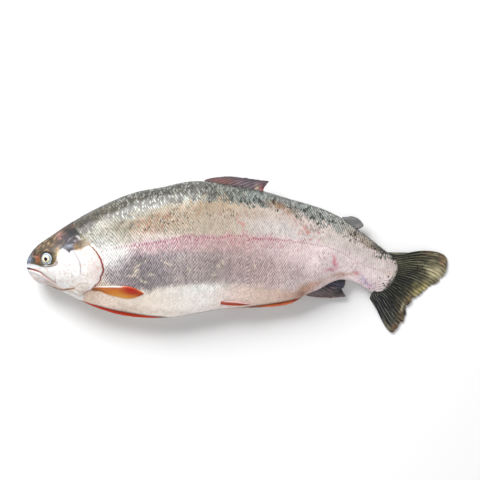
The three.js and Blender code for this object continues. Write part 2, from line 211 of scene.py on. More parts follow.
def near(points, x, y, pieces=24):
    """How far places lie from a smooth line through points, and the share of the line where it is nearest."""
    shares = np.linspace(0, 1, pieces + 1)
    stops = line(points, shares)
    best = np.full(np.shape(x), 1e9)
    share = np.zeros(np.shape(x))
    for first, last, start in zip(stops[:-1], stops[1:], shares[:-1]):
        run = last - first
        part = np.clip(((x - first[0]) * run[0] + (y - first[1]) * run[1]) / (run @ run), 0, 1)
        gap = np.hypot(x - first[0] - part * run[0], y - first[1] - part * run[1])
        share = np.where(gap < best, start + part / pieces, share)
        best = np.minimum(gap, best)
    return best, share


EYE_X = 30.2
EYE_Y = -12.4
MOUTH_LINE = [[-4, -25.8], [6, -27], [19, -31], [28, -37.5], [36, -43], [43, -46.5]]
CHEEK_LINE = [[68.7, -1], [73.2, -8.5], [77.8, -18], [79, -28], [78, -38]]
NOSTRILS = ((12, -7), (15.5, -7.5))
LATERAL_LINE = np.array([
    [60, -10], [105, -3], [133, 1], [157, 7], [190, 11], [218, 16], [261, 18], [304, 18], [332, 17],
    [360, 14], [389, 10], [417, 7], [460, -9], [488, -26], [515, -45], [535, -60],
])
MOUTH_DEPTH = 4
LIP_PROUD = 0.7
SOCKET_DEPTH = 4.5
SOCKET_RIM = 0.7
NOSTRIL_DEPTH = 1.4
BROW_PROUD = 1.2
THROAT_FOLD = 0.45
BROAD_SWELL = 0.35
SMALL_SWELL = 0.12
LINE_GROOVE = 0.25


def relief(points):
    """How far the skin stands off its plain form: lips, eye socket, nostrils, throat folds and soft muscle
    swells."""
    x, y = points[..., 0], points[..., 1]
    gap, share = near(MOUTH_LINE, x, y)
    half = lerp(1.3, 0.7, share)
    mouth = -MOUTH_DEPTH * lerp(1, 0.4, share) * (1 - rise(gap, half * 0.5, half * 1.3))
    lips = LIP_PROUD * np.exp(-((gap - 2.6) / 1.2) ** 2) * rise(x, 0, 3) * (1 - rise(share, 0.85, 1))
    from_eye = np.hypot(x - EYE_X, y - EYE_Y)
    socket_rim = SOCKET_RIM * np.exp(-((from_eye - 10.6) / 1.5) ** 2)
    socket = -SOCKET_DEPTH * (1 - rise(from_eye, 7.6, 9)) + socket_rim
    pits = sum(-NOSTRIL_DEPTH * np.exp(-((x - a) ** 2 + (y - b) ** 2) / 0.9) for a, b in NOSTRILS)
    brow = BROW_PROUD * np.exp(-((x - 31) / 13) ** 2 - ((y + 1.5) / 3.2) ** 2)
    throat = np.exp(-((x - 78) / 22) ** 2 - ((y + 56) / 9) ** 2)
    folds = THROAT_FOLD * throat * np.sin(0.9 * (y + 0.45 * x) + 1.5 * ripple(points, 22, 5))
    body = rise(x, 95, 135)
    muscle = BROAD_SWELL * body * ripple(points, 46, 8) + SMALL_SWELL * ripple(points, 13, 9)
    side_gap, _ = near(LATERAL_LINE, x, y, 60)
    groove = -LINE_GROOVE * body * np.exp(-(side_gap / 1.6) ** 2)
    return mouth + lips + socket + pits + brow + folds + muscle + groove


def set_out(name, data):
    """Puts a mesh, a lamp or a camera into the scene as an object."""
    piece = bpy.data.objects.new(name, data)
    bpy.context.scene.collection.objects.link(piece)
    return piece


SHARP_ANGLE = math.radians(55)


def loft(name, rings, floats=None, colours=None, maps=None):
    """A closed surface over rings of points, given as rings x around x 3. Cells join each ring to the next
    one, and a point in the middle of the first and of the last ring closes the ends. Values may be given
    per point: floats, colours (0 to 1, linear) and maps (pairs). Faces are turned so that the volume inside
    is positive."""
    count, around = rings.shape[:2]
    points = np.concatenate([rings.reshape(-1, 3), rings[:1].mean(axis=1), rings[-1:].mean(axis=1)])
    here = np.arange(count * around).reshape(count, around)
    beside = np.roll(here, -1, axis=1)
    quads = np.stack([here[:-1], here[1:], beside[1:], beside[:-1]], axis=-1).reshape(-1, 4)
    first = np.full(around, count * around)
    fans = np.concatenate([
        np.stack([first, here[0], beside[0]], axis=-1),
        np.stack([first + 1, beside[-1], here[-1]], axis=-1),
    ])
    corners = np.concatenate([quads[:, :3], quads[:, [0, 2, 3]], fans])
    a, b, c = (points[corners[:, i]] for i in range(3))
    if np.einsum("ij,ij->", a, np.cross(b, c)) < 0:
        quads = quads[:, ::-1]
        fans = fans[:, ::-1]
    mesh = bpy.data.meshes.new(name)
    mesh.from_pydata(((points - FISH_MIDDLE) * MM).tolist(), [], quads.tolist() + fans.tolist())

    def spread(values, width):
        """The values of every point, the two ends' middles included."""
        values = np.asarray(values, float).reshape(count, around, width)
        ends = [values[:1].mean(axis=1), values[-1:].mean(axis=1)]
        return np.concatenate([values.reshape(-1, width), *ends])

    for key, values in (floats or {}).items():
        layer = mesh.attributes.new(key, "FLOAT", "POINT")
        layer.data.foreach_set("value", spread(values, 1).astype(np.float32).ravel())
    for key, values in (colours or {}).items():
        layer = mesh.attributes.new(key, "FLOAT_COLOR", "POINT")
        full = np.concatenate([spread(values, 3), np.ones((len(points), 1))], axis=1)
        layer.data.foreach_set("color", full.astype(np.float32).ravel())
    corner_points = np.concatenate([quads.ravel(), fans.ravel()])
    for key, values in (maps or {}).items():
        layer = mesh.uv_layers.new(name=key)
        layer.data.foreach_set("uv", spread(values, 2)[corner_points].astype(np.float32).ravel())
    mesh.shade_smooth()
    mesh.set_sharp_from_angle(angle=SHARP_ANGLE)
    return set_out(name, mesh)


# What is seen of a colour is what it throws back of the studio's light, so colours are given by their look,
# 0 to 255.
LIGHT_ON_TOP = 1.2


def seen(red, green, blue):
    """A colour that looks like this under the studio's light, as linear shares."""
    share = np.array([red, green, blue]) / 255
    linear = np.where(share <= 0.04045, share / 12.92, ((share + 0.055) / 1.055) ** 2.4)
    return np.minimum(linear / LIGHT_ON_TOP, 0.9)


def coated(ground, colour, amount):
    """The ground with a colour laid over it, where amount is above 0."""
    return ground + (colour - ground) * np.clip(amount, 0, 1)[..., None]


def graded(x, *stops):
    """A colour that changes along the body, from stops of (x, red, green, blue)."""
    places = [stop[0] for stop in stops]
    colours = np.array([seen(*stop[1:]) for stop in stops])
    return np.stack([np.interp(x, places, colours[:, i]) for i in range(3)], axis=-1)


def patch_at(x, y, middle, reach, turn=0.0):
    """A soft oval patch: 1 in its middle, falling off as exp(-r^2), where r is 1 at its reach."""
    c, s = math.cos(turn), math.sin(turn)
    across = (x - middle[0]) * c + (y - middle[1]) * s
    up = (y - middle[1]) * c - (x - middle[0]) * s
    return np.exp(-(across / reach[0]) ** 2 - (up / reach[1]) ** 2)


MOST_COVER = 0.97


def daubed(ground, x, y, daubs):
    """The ground with soft oval daubs laid over it in turn. A daub is its colour's look, how much of it
    lies in its middle, and the oval's middle, reach and turn."""
    for look, amount, middle, reach, turn in daubs:
        cover = np.minimum(amount * patch_at(x, y, middle, reach, turn), MOST_COVER)
        ground = coated(ground, seen(*look), cover)
    return ground


BACK_LINE = np.array([
    [-5, -20], [8, -12], [30, 4], [60, 16], [78, 22], [85, 22], [99, 33], [110, 40], [126, 41], [140, 41],
    [153, 50], [176, 57], [197, 63], [213, 65], [247, 70], [275, 71], [304, 65], [335, 61], [360, 55],
    [389, 47], [410, 40], [432, 31], [453, 21], [474, 11], [491, 0], [503, -8], [540, -20],
])
ABDOMEN_TOP = np.array([
    [105, -38], [112, -24], [122, -17], [140, -10], [157, -6], [190, -3], [225, -1], [268, 0], [304, -1],
    [335, -9], [368, -17], [396, -28], [430, -40],
])
ABDOMEN_LOW = np.array([
    [95, -44], [105, -47], [122, -50], [140, -56], [176, -57], [204, -53], [223, -49], [261, -48],
    [318, -51], [360, -57], [396, -60], [430, -62],
])
CHEEK_TOP = np.array([
    [-9, -17], [2, -18.5], [14, -21], [27, -22.5], [40, -20], [44, -13], [45.5, -3], [52, 2], [59, -1],
    [63, -4], [70, 0], [82, 3], [90, 6], [97, 10], [110, 20],
])
SCALES_FRONT = np.array([
    [-110, 60], [-85, 76], [-64, 83], [-55, 95], [-48, 103], [-38, 110], [-26, 113], [-11, 110], [4, 102],
    [14, 91], [18, 83], [26, 76], [34, 70], [60, 62], [100, 60],
])
STARS = (
    [[173, -13], [161, -20], [159, -27.5], [153, -34.5], [144, -36.5]],
    [[151, -37.5], [155, -38.5], [159, -40.7]],
    [[164, -46], [168, -44], [172, -47]],
    [[175, -37], [181, -36.5], [187, -37.5]],
    [[211, -42], [213, -41], [216, -41.5]],
    [[227, -28], [229, -29], [231, -30.5]],
    [[196, -16], [202, -21], [206, -19]],
    [[237, -26], [240, -24], [239, -20]],
    [[269, -27], [275, -21], [279, -15]],
    [[322, -23], [329, -20], [334, -15]],
    [[262, -33], [268, -35], [273, -34]],
)
CREASE_LINE = [[30, -50.5], [44, -54.5], [52, -56.5], [60, -55.5], [69, -54]]
THROAT_FOLD_LINES = ([[60, -59], [70, -62], [80, -63]], [[68, -56], [78, -58], [88, -57]],
                     [[64, -51], [76, -50], [88, -47]])
UNDER_EYE_LINE = [[11, -17.5], [21, -22.5], [32, -23.5], [42, -21.5], [46, -17]]
UPPER_LIP_LINE = [[12, -26.5], [20, -27], [29, -31], [37, -38]]
RED_SPECKS = ((395, 33), (400, 27), (404, 17), (386, 22), (412, 25), (420, 14), (390, 27))

# Daubs of colour, each as its look, how much of it, and its oval's middle, reach and turn.
PALE_DAUBS = (
    ((244, 242, 238), 0.9, (247, -55), (32, 6.5), 0.12),
    ((242, 242, 240), 0.8, (122, -6), (16, 18), 0.3),
    ((228, 214, 192), 0.7, (104, -45), (9, 6), 0),
    ((196, 148, 108), 0.75, (96, -54), (12, 5), -0.2),
)
LOW_BELLY_DAUB = ((206, 172, 168), 0.4, (150, -84), (60, 4), -0.05)
FLANK_MARKS = (
    ((176, 112, 62), 0.6, (374, 52), (5, 7), 0),
    ((226, 104, 132), 0.8, (438, -16), (2.4, 9), 0.2),
    ((226, 104, 132), 0.8, (431, -27), (7, 2.2), 0.1),
    ((226, 104, 132), 0.8, (470, -34), (4, 2.4), 0),
    ((200, 84, 84), 0.7, (304, 39), (1.3, 8), 0.2),
    *(((206, 84, 78), 0.75, place, (1.8, 2.2), 0) for place in RED_SPECKS),
    ((172, 158, 200), 0.6, (482, -46), (15, 4), -0.8),
    ((178, 122, 84), 0.8, (400, -53), (24, 5), 0.42),
    ((176, 120, 84), 0.7, (452, -35), (20, 2.6), 0.1),
    ((120, 52, 40), 0.7, (392, -62), (7, 2.2), 0.4),
)
SHOULDER_DAUB = ((236, 214, 206), 0.7, (99, -36), (9, 13), 0)
FACE_DAUBS = (
    ((226, 214, 200), 0.8, (82, -55), (20, 8), -0.6),
    ((222, 216, 218), 0.9, (22, -42), (18, 8), -0.5),
    ((240, 222, 208), 0.7, (9, -40), (5, 7), -0.9),
    ((236, 220, 210), 0.7, (44, -52), (16, 4), -0.35),
)
CROWN_DAUBS = (
    ((178, 132, 124), 0.9, (49, 21), (6, 4.5), 0.6),
    ((62, 56, 66), 0.85, (57, 14), (12, 5), 0.7),
    ((140, 144, 158), 0.85, (60, 4), (12, 5), 0.15),
    ((150, 150, 160), 0.7, (66, 17), (9, 1.3), 0.6),
    ((160, 158, 172), 0.7, (70, 10), (8, 1.2), 0.8),
    ((14, 15, 14), 1.6, (71, 25), (8, 5), 0.15),
    ((138, 100, 58), 0.85, (71, 36), (8, 3), 0.6),
    ((26, 24, 16), 0.9, (58, 28), (11, 3), 0.7),
)
NAPE_DAUBS = (
    ((158, 120, 72), 0.85, (73, 4), (3, 5), -0.3),
    ((200, 170, 132), 0.7, (80, 3), (5, 4), 0),
    ((112, 108, 34), 0.95, (83, 17), (2.4, 4.5), 0.4),
    ((236, 234, 232), 0.9, (77, 18), (4, 1.2), -0.5),
)
SNOUT_AND_NAPE_DAUBS = (
    ((128, 138, 158), 0.8, (3, -13), (6, 6), 0),
    ((12, 12, 11), 1.8, (70, 27), (8.5, 4.6), 0.15),
)
BACK_DAUBS = (
    ((64, 44, 32), 0.85, (354, 66), (9, 4), -0.6),
    ((70, 58, 44), 0.75, (372, 56), (9, 4), -0.5),
    ((22, 26, 28), 0.95, (508, 4), (16, 6), -0.5),
    ((168, 118, 72), 0.6, (362, 58), (22, 7), -0.4),
    ((180, 148, 124), 0.5, (476, 10), (22, 7), -0.7),
)


def flank_colours(points):
    """The colours of the scaled skin, laid on zone by zone from the flank to the marks, and the zones'
    masks. Both sides are marked alike, but for the wavering of the edges."""
    x, y = points[..., 0], points[..., 1]
    xw = x + 2.6 * ripple(points, 17, 3) + 0.5 * ripple(points, 6, 13)
    yw = y + 2.2 * ripple(points, 17, 4) + 0.5 * ripple(points, 6, 14)
    over_line = yw - np.interp(x, *LATERAL_LINE.T)
    below_back = np.interp(xw, *BACK_LINE.T) - yw
    in_abdomen = np.interp(xw, *ABDOMEN_TOP.T) - yw
    in_belly = np.interp(xw, *ABDOMEN_LOW.T) - yw

    upper = graded(x, (100, 166, 166, 158), (140, 154, 149, 132), (165, 166, 148, 128), (225, 172, 159, 140),
                   (290, 184, 170, 153), (335, 204, 194, 189), (395, 226, 217, 213), (440, 234, 221, 216),
                   (500, 232, 219, 214), (530, 206, 194, 186))
    tanned = graded(x, (100, 146, 144, 130), (140, 114, 106, 84), (165, 114, 106, 82), (190, 124, 112, 86),
                    (225, 144, 130, 107), (290, 180, 160, 136), (335, 198, 185, 174), (395, 216, 200, 195),
                    (440, 228, 216, 208), (505, 230, 216, 212), (530, 204, 192, 184))
    band = graded(x, (108, 228, 223, 221), (132, 216, 211, 209), (150, 210, 196, 196), (165, 202, 180, 182),
                  (190, 192, 168, 171), (230, 188, 160, 161), (300, 188, 158, 155), (350, 208, 184, 184),
                  (380, 230, 208, 207), (415, 246, 228, 227), (480, 246, 228, 228), (505, 240, 226, 224),
                  (530, 212, 200, 196))
    lower = graded(x, (108, 200, 188, 184), (124, 168, 158, 160), (140, 160, 149, 153), (165, 134, 125, 128),
                   (190, 148, 138, 141), (220, 168, 155, 155), (240, 174, 160, 158), (268, 158, 144, 141),
                   (300, 177, 157, 155), (345, 194, 170, 168), (385, 204, 186, 184), (435, 230, 207, 207),
                   (480, 224, 204, 208), (505, 206, 190, 190), (530, 200, 188, 182))
    belly = graded(x, (85, 232, 204, 182), (115, 255, 235, 218), (165, 254, 240, 224), (250, 244, 238, 233),
                   (300, 230, 205, 194), (345, 214, 184, 168), (405, 166, 126, 108), (440, 180, 140, 126),
                   (480, 202, 180, 176), (530, 200, 188, 182))
    ground = coated(upper, tanned, 1 - rise(below_back + 4 * ripple(points, 26, 15), 6, 24))
    ground = coated(ground, band, 1 - rise(over_line, 0, 10))
    ground = coated(ground, seen(234, 226, 224), 0.45 * patch_at(x, y, (180, 20), (38, 7), 0.05))
    ground = coated(ground, lower, rise(in_abdomen, -6, 7))
    ground = coated(ground, belly, rise(in_belly, -6, 5))
    ground = daubed(ground, x, y, PALE_DAUBS)
    ground = daubed(ground, xw, yw, [LOW_BELLY_DAUB])
    frayed = 0.9 * ripple(points, 3.2, 16)
    for star in STARS:
        gap, share = near(star, xw + frayed, yw - frayed, 8)
        wide = 0.8 + 0.9 * np.sin(np.pi * share)
        ground = coated(ground, seen(226, 212, 192), 0.7 * np.exp(-(gap / wide) ** 2))
    ground = daubed(ground, xw, yw, FLANK_MARKS)
    masks = {"over_line": over_line, "below_back": below_back, "in_abdomen": in_abdomen, "in_belly": in_belly}
    return ground, masks


def head_colours(points):
    """The colours of the head: a mottled olive crown, a pale cheek and jaw, and the marks about eye and
    mouth. Also returns how far a place lies above the cheek."""
    x, y = points[..., 0], points[..., 1]
    xw = x + 1.6 * ripple(points, 14, 23) + 0.7 * ripple(points, 5, 24)
    yw = y + 1.6 * ripple(points, 14, 25) + 0.7 * ripple(points, 5, 26)
    face = graded(x, (0, 196, 202, 214), (14, 226, 230, 234), (28, 244, 246, 247), (45, 254, 254, 254),
                  (78, 254, 254, 254), (92, 248, 244, 241), (112, 246, 240, 237))
    face = daubed(face, xw, yw, [SHOULDER_DAUB])
    face = daubed(face, x, y, FACE_DAUBS)
    # The brown patch under the chin and the brown band and dark line along the crease are mostly painted
    # shade of the jaw's lower edge, partly the crease's own colour.
    crease, share = near(CREASE_LINE, x, y)
    face = coated(face, seen(178, 146, 129), 0.6 * patch_at(xw, yw, (34, -46), (9, 4), -0.5))
    face = coated(face, seen(164, 112, 66), 0.92 * np.exp(-((crease - 0.4) / lerp(1.7, 1.2, share)) ** 2))
    crease_shade = 0.9 * np.exp(-((crease + 0.2) / 0.8) ** 2) * (1 - rise(share, 0.75, 0.95))
    face = coated(face, seen(70, 44, 24), crease_shade)
    # Painted shade in the throat's folds: a tan line along each fold.
    for fold_line in THROAT_FOLD_LINES:
        fold, _ = near(fold_line, xw, yw, 8)
        face = coated(face, seen(190, 164, 136), 0.65 * np.exp(-(fold / 1.0) ** 2))
    crown = graded(x, (0, 92, 100, 118), (8, 72, 68, 56), (16, 80, 68, 46), (36, 84, 70, 48),
                   (50, 78, 65, 56), (62, 64, 56, 60), (74, 64, 56, 48), (84, 150, 134, 110),
                   (98, 204, 197, 186))
    dark_mottle = 0.9 * np.clip(ripple(points, 8, 31), 0, 1) * (1 - rise(x, 76, 84))
    crown = coated(crown, seen(34, 30, 18), dark_mottle)
    pale_mottle = 0.7 * np.clip(ripple(points, 9, 33), 0, 1) * (1 - rise(x, 50, 62))
    crown = coated(crown, seen(150, 126, 92), pale_mottle)
    crown = daubed(crown, xw, yw, CROWN_DAUBS)
    above_cheek = yw * 0.5 + y * 0.5 - np.interp(xw * 0.4 + x * 0.6, *CHEEK_TOP.T)
    head = coated(face, crown, rise(above_cheek, -1.1, 1.1))
    head = daubed(head, xw, yw, NAPE_DAUBS)
    head = daubed(head, x, y, SNOUT_AND_NAPE_DAUBS)
    from_eye = np.hypot(x - EYE_X, y - EYE_Y)
    head = coated(head, seen(64, 54, 40), 0.7 * (1 - rise(from_eye, 10.6, 12.5)) * rise(yw, -24, -19))
    behind_eye = 0.95 * patch_at(x, y, (42, -15), (3.6, 5.5), 0.3) * rise(y, -22.5, -20.5)
    head = coated(head, seen(106, 88, 46), behind_eye)
    head = coated(head, seen(150, 84, 48), 0.95 * patch_at(xw, y, (17, -13), (3, 6), -0.1))
    under_eye, _ = near(UNDER_EYE_LINE, x, y)
    head = coated(head, seen(48, 36, 28), 0.9 * np.exp(-(under_eye / 0.8) ** 2))
    head = coated(head, seen(222, 198, 156), 0.75 * patch_at(x, y, (46, -3), (4, 6)))
    gap, share = near(MOUTH_LINE, x, y)
    lip = np.exp(-(gap / lerp(1.5, 0.9, share)) ** 2)
    # At the mouth's front the lip line is near black: painted shade in the gap between the jaws. Further back
    # it is red, then pink.
    lip_colour = np.where((share < 0.18)[..., None], seen(20, 14, 12),
                          np.where((share < 0.45)[..., None], seen(214, 88, 56), seen(222, 148, 138)))
    head = coated(head, lip_colour, 0.95 * lip)
    head = coated(head, seen(238, 238, 238), 0.8 * np.exp(-((gap - 3.4) / 1.4) ** 2) * (y > -40))
    upper_lip, _ = near(UPPER_LIP_LINE, x, y)
    head = coated(head, seen(214, 156, 152), 0.7 * np.exp(-(upper_lip / 0.8) ** 2))
    cheek_gap, share = near(CHEEK_LINE, x, y)
    cheek_edge = 0.85 * np.exp(-(cheek_gap / 0.9) ** 2) * (1 - rise(share, 0.75, 1))
    head = coated(head, seen(150, 140, 150), cheek_edge)
    # The nostrils are near black: painted shade in their pits.
    for a, b in NOSTRILS:
        head = coated(head, seen(24, 22, 22), np.clip(1.6 * patch_at(x, y, (a, b), (1.2, 1)), 0, 1))
    return head, above_cheek


ROOT_END = on_axis(ROOT_ROUND_TO, 0, 0)


def marked(points):
    """The trout's markings: the colour of every place, the colour of its back where the back's scales lie,
    and how strongly each kind of mark shows there."""
    x, y = points[..., 0], points[..., 1]
    on_trunk = rise(x - np.interp(y, *SCALES_FRONT.T), -1.2, 1.2)
    flank, masks = flank_colours(points)
    head, above_cheek = head_colours(points)
    ground = coated(head, flank, on_trunk)
    back = graded(x, (60, 48, 42, 28), (85, 50, 42, 27), (110, 64, 56, 40), (140, 58, 52, 40),
                  (180, 60, 55, 46), (215, 62, 60, 53), (250, 88, 86, 78), (305, 96, 100, 94),
                  (330, 112, 120, 120), (350, 98, 104, 102), (400, 124, 129, 126), (440, 148, 150, 146),
                  (485, 162, 150, 140), (505, 100, 92, 84), (530, 62, 60, 52))
    back = daubed(back, x, y, BACK_DAUBS)

    over_line = masks["over_line"]
    on_back = 1 - rise(masks["below_back"], -11, 9)
    on_side = 1 - on_back
    up_root = (ROOT_END[0] - x) * math.cos(CURL_ANGLE) + (y - ROOT_END[1]) * math.sin(CURL_ANGLE)
    on_back = np.maximum(on_back, 0.9 * (1 - rise(up_root, 1, 8)))
    belly = rise(masks["in_belly"], -5, 6)
    abdomen = rise(masks["in_abdomen"], -5, 7) * (1 - belly)
    rear = rise(x, 340, 400)
    white = patch_at(x, y, (122, -6), (16, 18), 0.3)
    rust = patch_at(x, y, (196, 43), (40, 11), 0.2) + patch_at(x, y, (178, 32), (24, 9), 0.1)
    rust = rust + 0.8 * patch_at(x, y, (290, 52), (60, 9), -0.05)
    rust = rust + 0.6 * patch_at(x, y, (400, 32), (34, 14), -0.4)
    rust = rust + 0.7 * patch_at(x, y, (478, 8), (24, 8), -0.7)
    front_line = rise(x, 128, 160) * (1 - rise(x, 350, 440))
    rosy = 0.6 * np.exp(-((over_line + 0.3) / 1.2) ** 2) * front_line * (1 - 0.6 * rise(x, 330, 400))
    below_line = rise(-over_line, -1, 2) * (1 - rise(-over_line, 8, 16))
    above_line = rise(over_line, 0, 1) * (1 - rise(over_line, 6, 13)) * rise(x, 250, 290)
    rosy = rosy + (0.4 * below_line + 0.3 * above_line) * rise(x, 140, 165) * (1 - rise(x, 345, 385))
    rosy = rosy + 0.3 * rear * on_side * np.clip(ripple(points, 24, 41), 0, 1)
    spots = patch_at(x, y, (112, 44), (34, 22), 0.5) + 0.8 * patch_at(x, y, (180, 42), (70, 20), 0.1)
    spots = spots + 1.1 * (1 - rise(up_root, 12, 26)) + 0.5 * patch_at(x, y, (440, 25), (50, 14), -0.4)
    quiet = rise(x, 225, 250) * rise(over_line, 5, 10) + 0.4 * patch_at(over_line, 0 * x, (6, 0), (6, 1))
    hatch = 0.75 + 0.25 * on_back + 0.25 * abdomen - 0.6 * belly - 0.2 * rear * on_side - 0.2 * white
    hatch = hatch + 0.2 * belly * rise(x, 230, 260) - 0.35 * quiet * on_side
    hatch = hatch - 0.3 * on_side * rise(x, 215, 245) * (1 - belly) * (1 - rise(over_line, 2, 8))
    head_spots = rise(above_cheek, 1, 4) * (1 - rise(x, 72, 84))
    values = {
        "scaly": on_trunk,
        "hatch": np.clip(hatch, 0.08, 1) * on_trunk,
        "on_back": on_back * on_trunk,
        "rust": np.clip(rust, 0, 1) * on_trunk,
        "rosy": np.clip(rosy, 0, 1) * on_trunk,
        "line": front_line * on_trunk,
        "glitter": rise(x, 92, 150) * on_trunk,
        "spotted": np.clip(lerp(head_spots, 1.5 * spots, on_trunk), 0, 1),
        "crown": rise(above_cheek, -1, 1) * (1 - on_trunk) * (1 - rise(x, 78, 88)),
        "face": (1 - rise(above_cheek, -1, 1)) * (1 - on_trunk),
    }
    return ground, back, values


SNOUT_RINGS = 96
HEAD_RINGS = 72
TRUNK_RINGS = 202
ROOT_RINGS = 14
SKIN_AROUND = 245
RIGHT_SIDE_OUT = 1e3  # keeps the search for the lateral line on the left side
ROW_HEIGHT = (2.9, 2.5)  # on the trunk, and on the root of the tail
SCALE_LENGTH = (3.6, 3.1)  # on the shoulder, and behind it
SLIT_FLOOR = 5.0  # below the belly's edge
SLIT_ROOF = 1.8  # above the belly's edge
SLIT_BACK = 9.0  # in from the upper flap's edge


def skin_piece():
    """The skin's rings. Each goes round the outside, from the upper flap's edge over the left flank, the
    back and the right flank to the lower flap's edge, and then through the slit: along the lower flap's
    inside, up the depth of the slit and back out under the upper flap."""
    d = np.concatenate([
        50 * np.linspace(0.02, 1, SNOUT_RINGS, endpoint=False) ** 1.3,
        np.linspace(50, 112, HEAD_RINGS, endpoint=False),
        np.linspace(112, ROOT_ROUND_FROM, TRUNK_RINGS, endpoint=False),
        lerp(ROOT_ROUND_FROM, ROOT_ROUND_TO - 0.2, np.sin(np.linspace(0, 1, ROOT_RINGS) * np.pi / 2)),
    ])[:, None]
    centre, depth, half, mid, sag = section_at(d)
    share = np.maximum(cut_share(d), CUT_TIP)
    shown = np.maximum(flesh_shown(d) - 1, 0.02) * share
    upper = angle_at(shown / depth - 1)
    lower = 1.5 * np.pi - np.arcsin(np.clip(4.4 * share / np.maximum(half, 5), 0, 1))
    t = np.linspace(-np.pi / 2, 1.5 * np.pi, SKIN_AROUND)[None, :]
    even = t - 0.18 * np.sin(2 * t)
    angle = upper + (even + np.pi / 2) * (lower - upper) / (2 * np.pi)
    outside = skin_point(d, angle)

    out = np.cross(np.gradient(outside, axis=1), np.gradient(outside, axis=0))
    out = out / np.maximum(np.linalg.norm(out, axis=-1, keepdims=True), 1e-9)
    out = out * np.sign(np.sum(out * (outside - on_axis(d, centre, mid)), axis=-1, keepdims=True))
    off = relief(outside) * rise(d, 0.2, 2) * (1 - rise(d, 515, 526))
    off_upper_edge = rise(t, -np.pi / 2, -np.pi / 2 + 0.12)
    off_lower_edge = 1 - rise(t, 1.5 * np.pi - 0.12, 1.5 * np.pi)
    off = off * np.minimum(off_upper_edge, off_lower_edge)
    outside = outside + out * off[..., None]
    outside[..., 2] = np.maximum(outside[..., 2], 0)

    edge = centre - depth
    level = mid - sag
    lip = outside[:, :1, 2]
    under = np.maximum(level + SLIT_ROOF * share, lip - FLAP_THICKNESS)
    inside = [
        (edge + 0.7 * share, level - 4.9 * share),
        (edge + 1.6 * share, level - SLIT_FLOOR * share),
        (edge + shown + 8.2 * share, level - SLIT_FLOOR * share),
        (edge + shown + SLIT_BACK * share, level - 3.8 * share),
        (edge + shown + SLIT_BACK * share, level + 1.4 * share),
        (edge + shown + 8.4 * share, np.maximum(level + SLIT_ROOF * share, under - 2)),
        (edge + shown + 4 * share, under - 0.4 * share),
        (edge + shown + 1.2 * share, under),
        (edge + shown + 0.3 * share, under + 0.5 * share),
        (edge + shown + 0.02 * share, lerp(under, lip, 0.6)),
    ]
    slit = np.concatenate([on_axis(d, height, z) for height, z in inside], axis=1)
    rings = np.concatenate([outside, slit], axis=1)

    steps = np.linalg.norm(np.diff(outside, axis=1), axis=-1)
    round_about = np.concatenate([np.zeros_like(d), np.cumsum(steps, axis=1)], axis=1)
    back_column = np.argmax(outside[..., 1], axis=1)[:, None]
    from_back = np.abs(round_about - np.take_along_axis(round_about, back_column, axis=1))
    over_line = outside[..., 1] - np.interp(outside[..., 0], *LATERAL_LINE.T)
    line_gap = np.abs(over_line) + RIGHT_SIDE_OUT * (angle > np.pi / 2)
    line_column = np.argmin(line_gap, axis=1)[:, None]
    to_line = np.take_along_axis(from_back, line_column, axis=1)
    to_line = np.convolve(np.pad(to_line[:, 0], 24, mode="edge"), np.ones(49) / 49, "valid")[:, None]
    row_height = lerp(*ROW_HEIGHT, rise(d, 400, 520))
    scale_length = lerp(*SCALE_LENGTH, rise(d[:, 0], 150, 210))
    p = np.cumsum(np.gradient(d[:, 0]) / scale_length)[:, None]
    q = (from_back - to_line) / row_height
    q = np.concatenate([q, np.repeat(q[:, -1:], slit.shape[1], axis=1)], axis=1)
    places = np.stack(np.broadcast_arrays(p, q), axis=-1)

    ground, back, values = marked(rings)
    nowhere = np.zeros(slit.shape[:2])
    cut_open = rise(share, 0.05, 0.3)
    # Painted shade: the ridge of the back, where the skin turns away, is darkened in both the skin's and the
    # back's colours.
    back_edge_shade = np.concatenate([rise(np.sin(angle), 0.9, 0.995), nowhere], axis=1)
    ground = coated(ground, seen(30, 32, 24), 0.85 * back_edge_shade * rise(rings[..., 0], 4, 26))
    back = coated(back, seen(26, 28, 22), 0.85 * back_edge_shade)
    # Painted shade: the skin inside the slit is dark brown for the shade between the flaps.
    in_slit = np.concatenate([np.zeros(outside.shape[:2]), nowhere + 1], axis=1) * cut_open
    ground = coated(ground, seen(92, 48, 26), 0.9 * in_slit)
    # Painted shade along both flaps' edges at the slit: a pale brown band and a dark brown line, widened
    # along the belly's middle stretch.
    from_rim = np.minimum(t + np.pi / 2, 1.5 * np.pi - t) * np.ones_like(d)
    rim_gap = np.concatenate([from_rim, nowhere], axis=1)
    widened = 1 + 2 * rise(d, 172, 200) * (1 - rise(d, 272, 300))
    flap_edge_shade = (1 - rise(rim_gap / widened, 0.012, 0.03)) * cut_open
    ground = coated(ground, seen(150, 104, 78), 0.5 * (1 - rise(rim_gap, 0.02, 0.07)) * cut_open)
    ground = coated(ground, seen(74, 44, 24), 0.9 * flap_edge_shade)
    values["hatch"] = values["hatch"] * (1 - in_slit)
    colours = {"ground": ground, "back": back}
    return loft("skin", rings, floats=values, colours=colours, maps={"scales": places})


FINE_BUMP = 0.0003


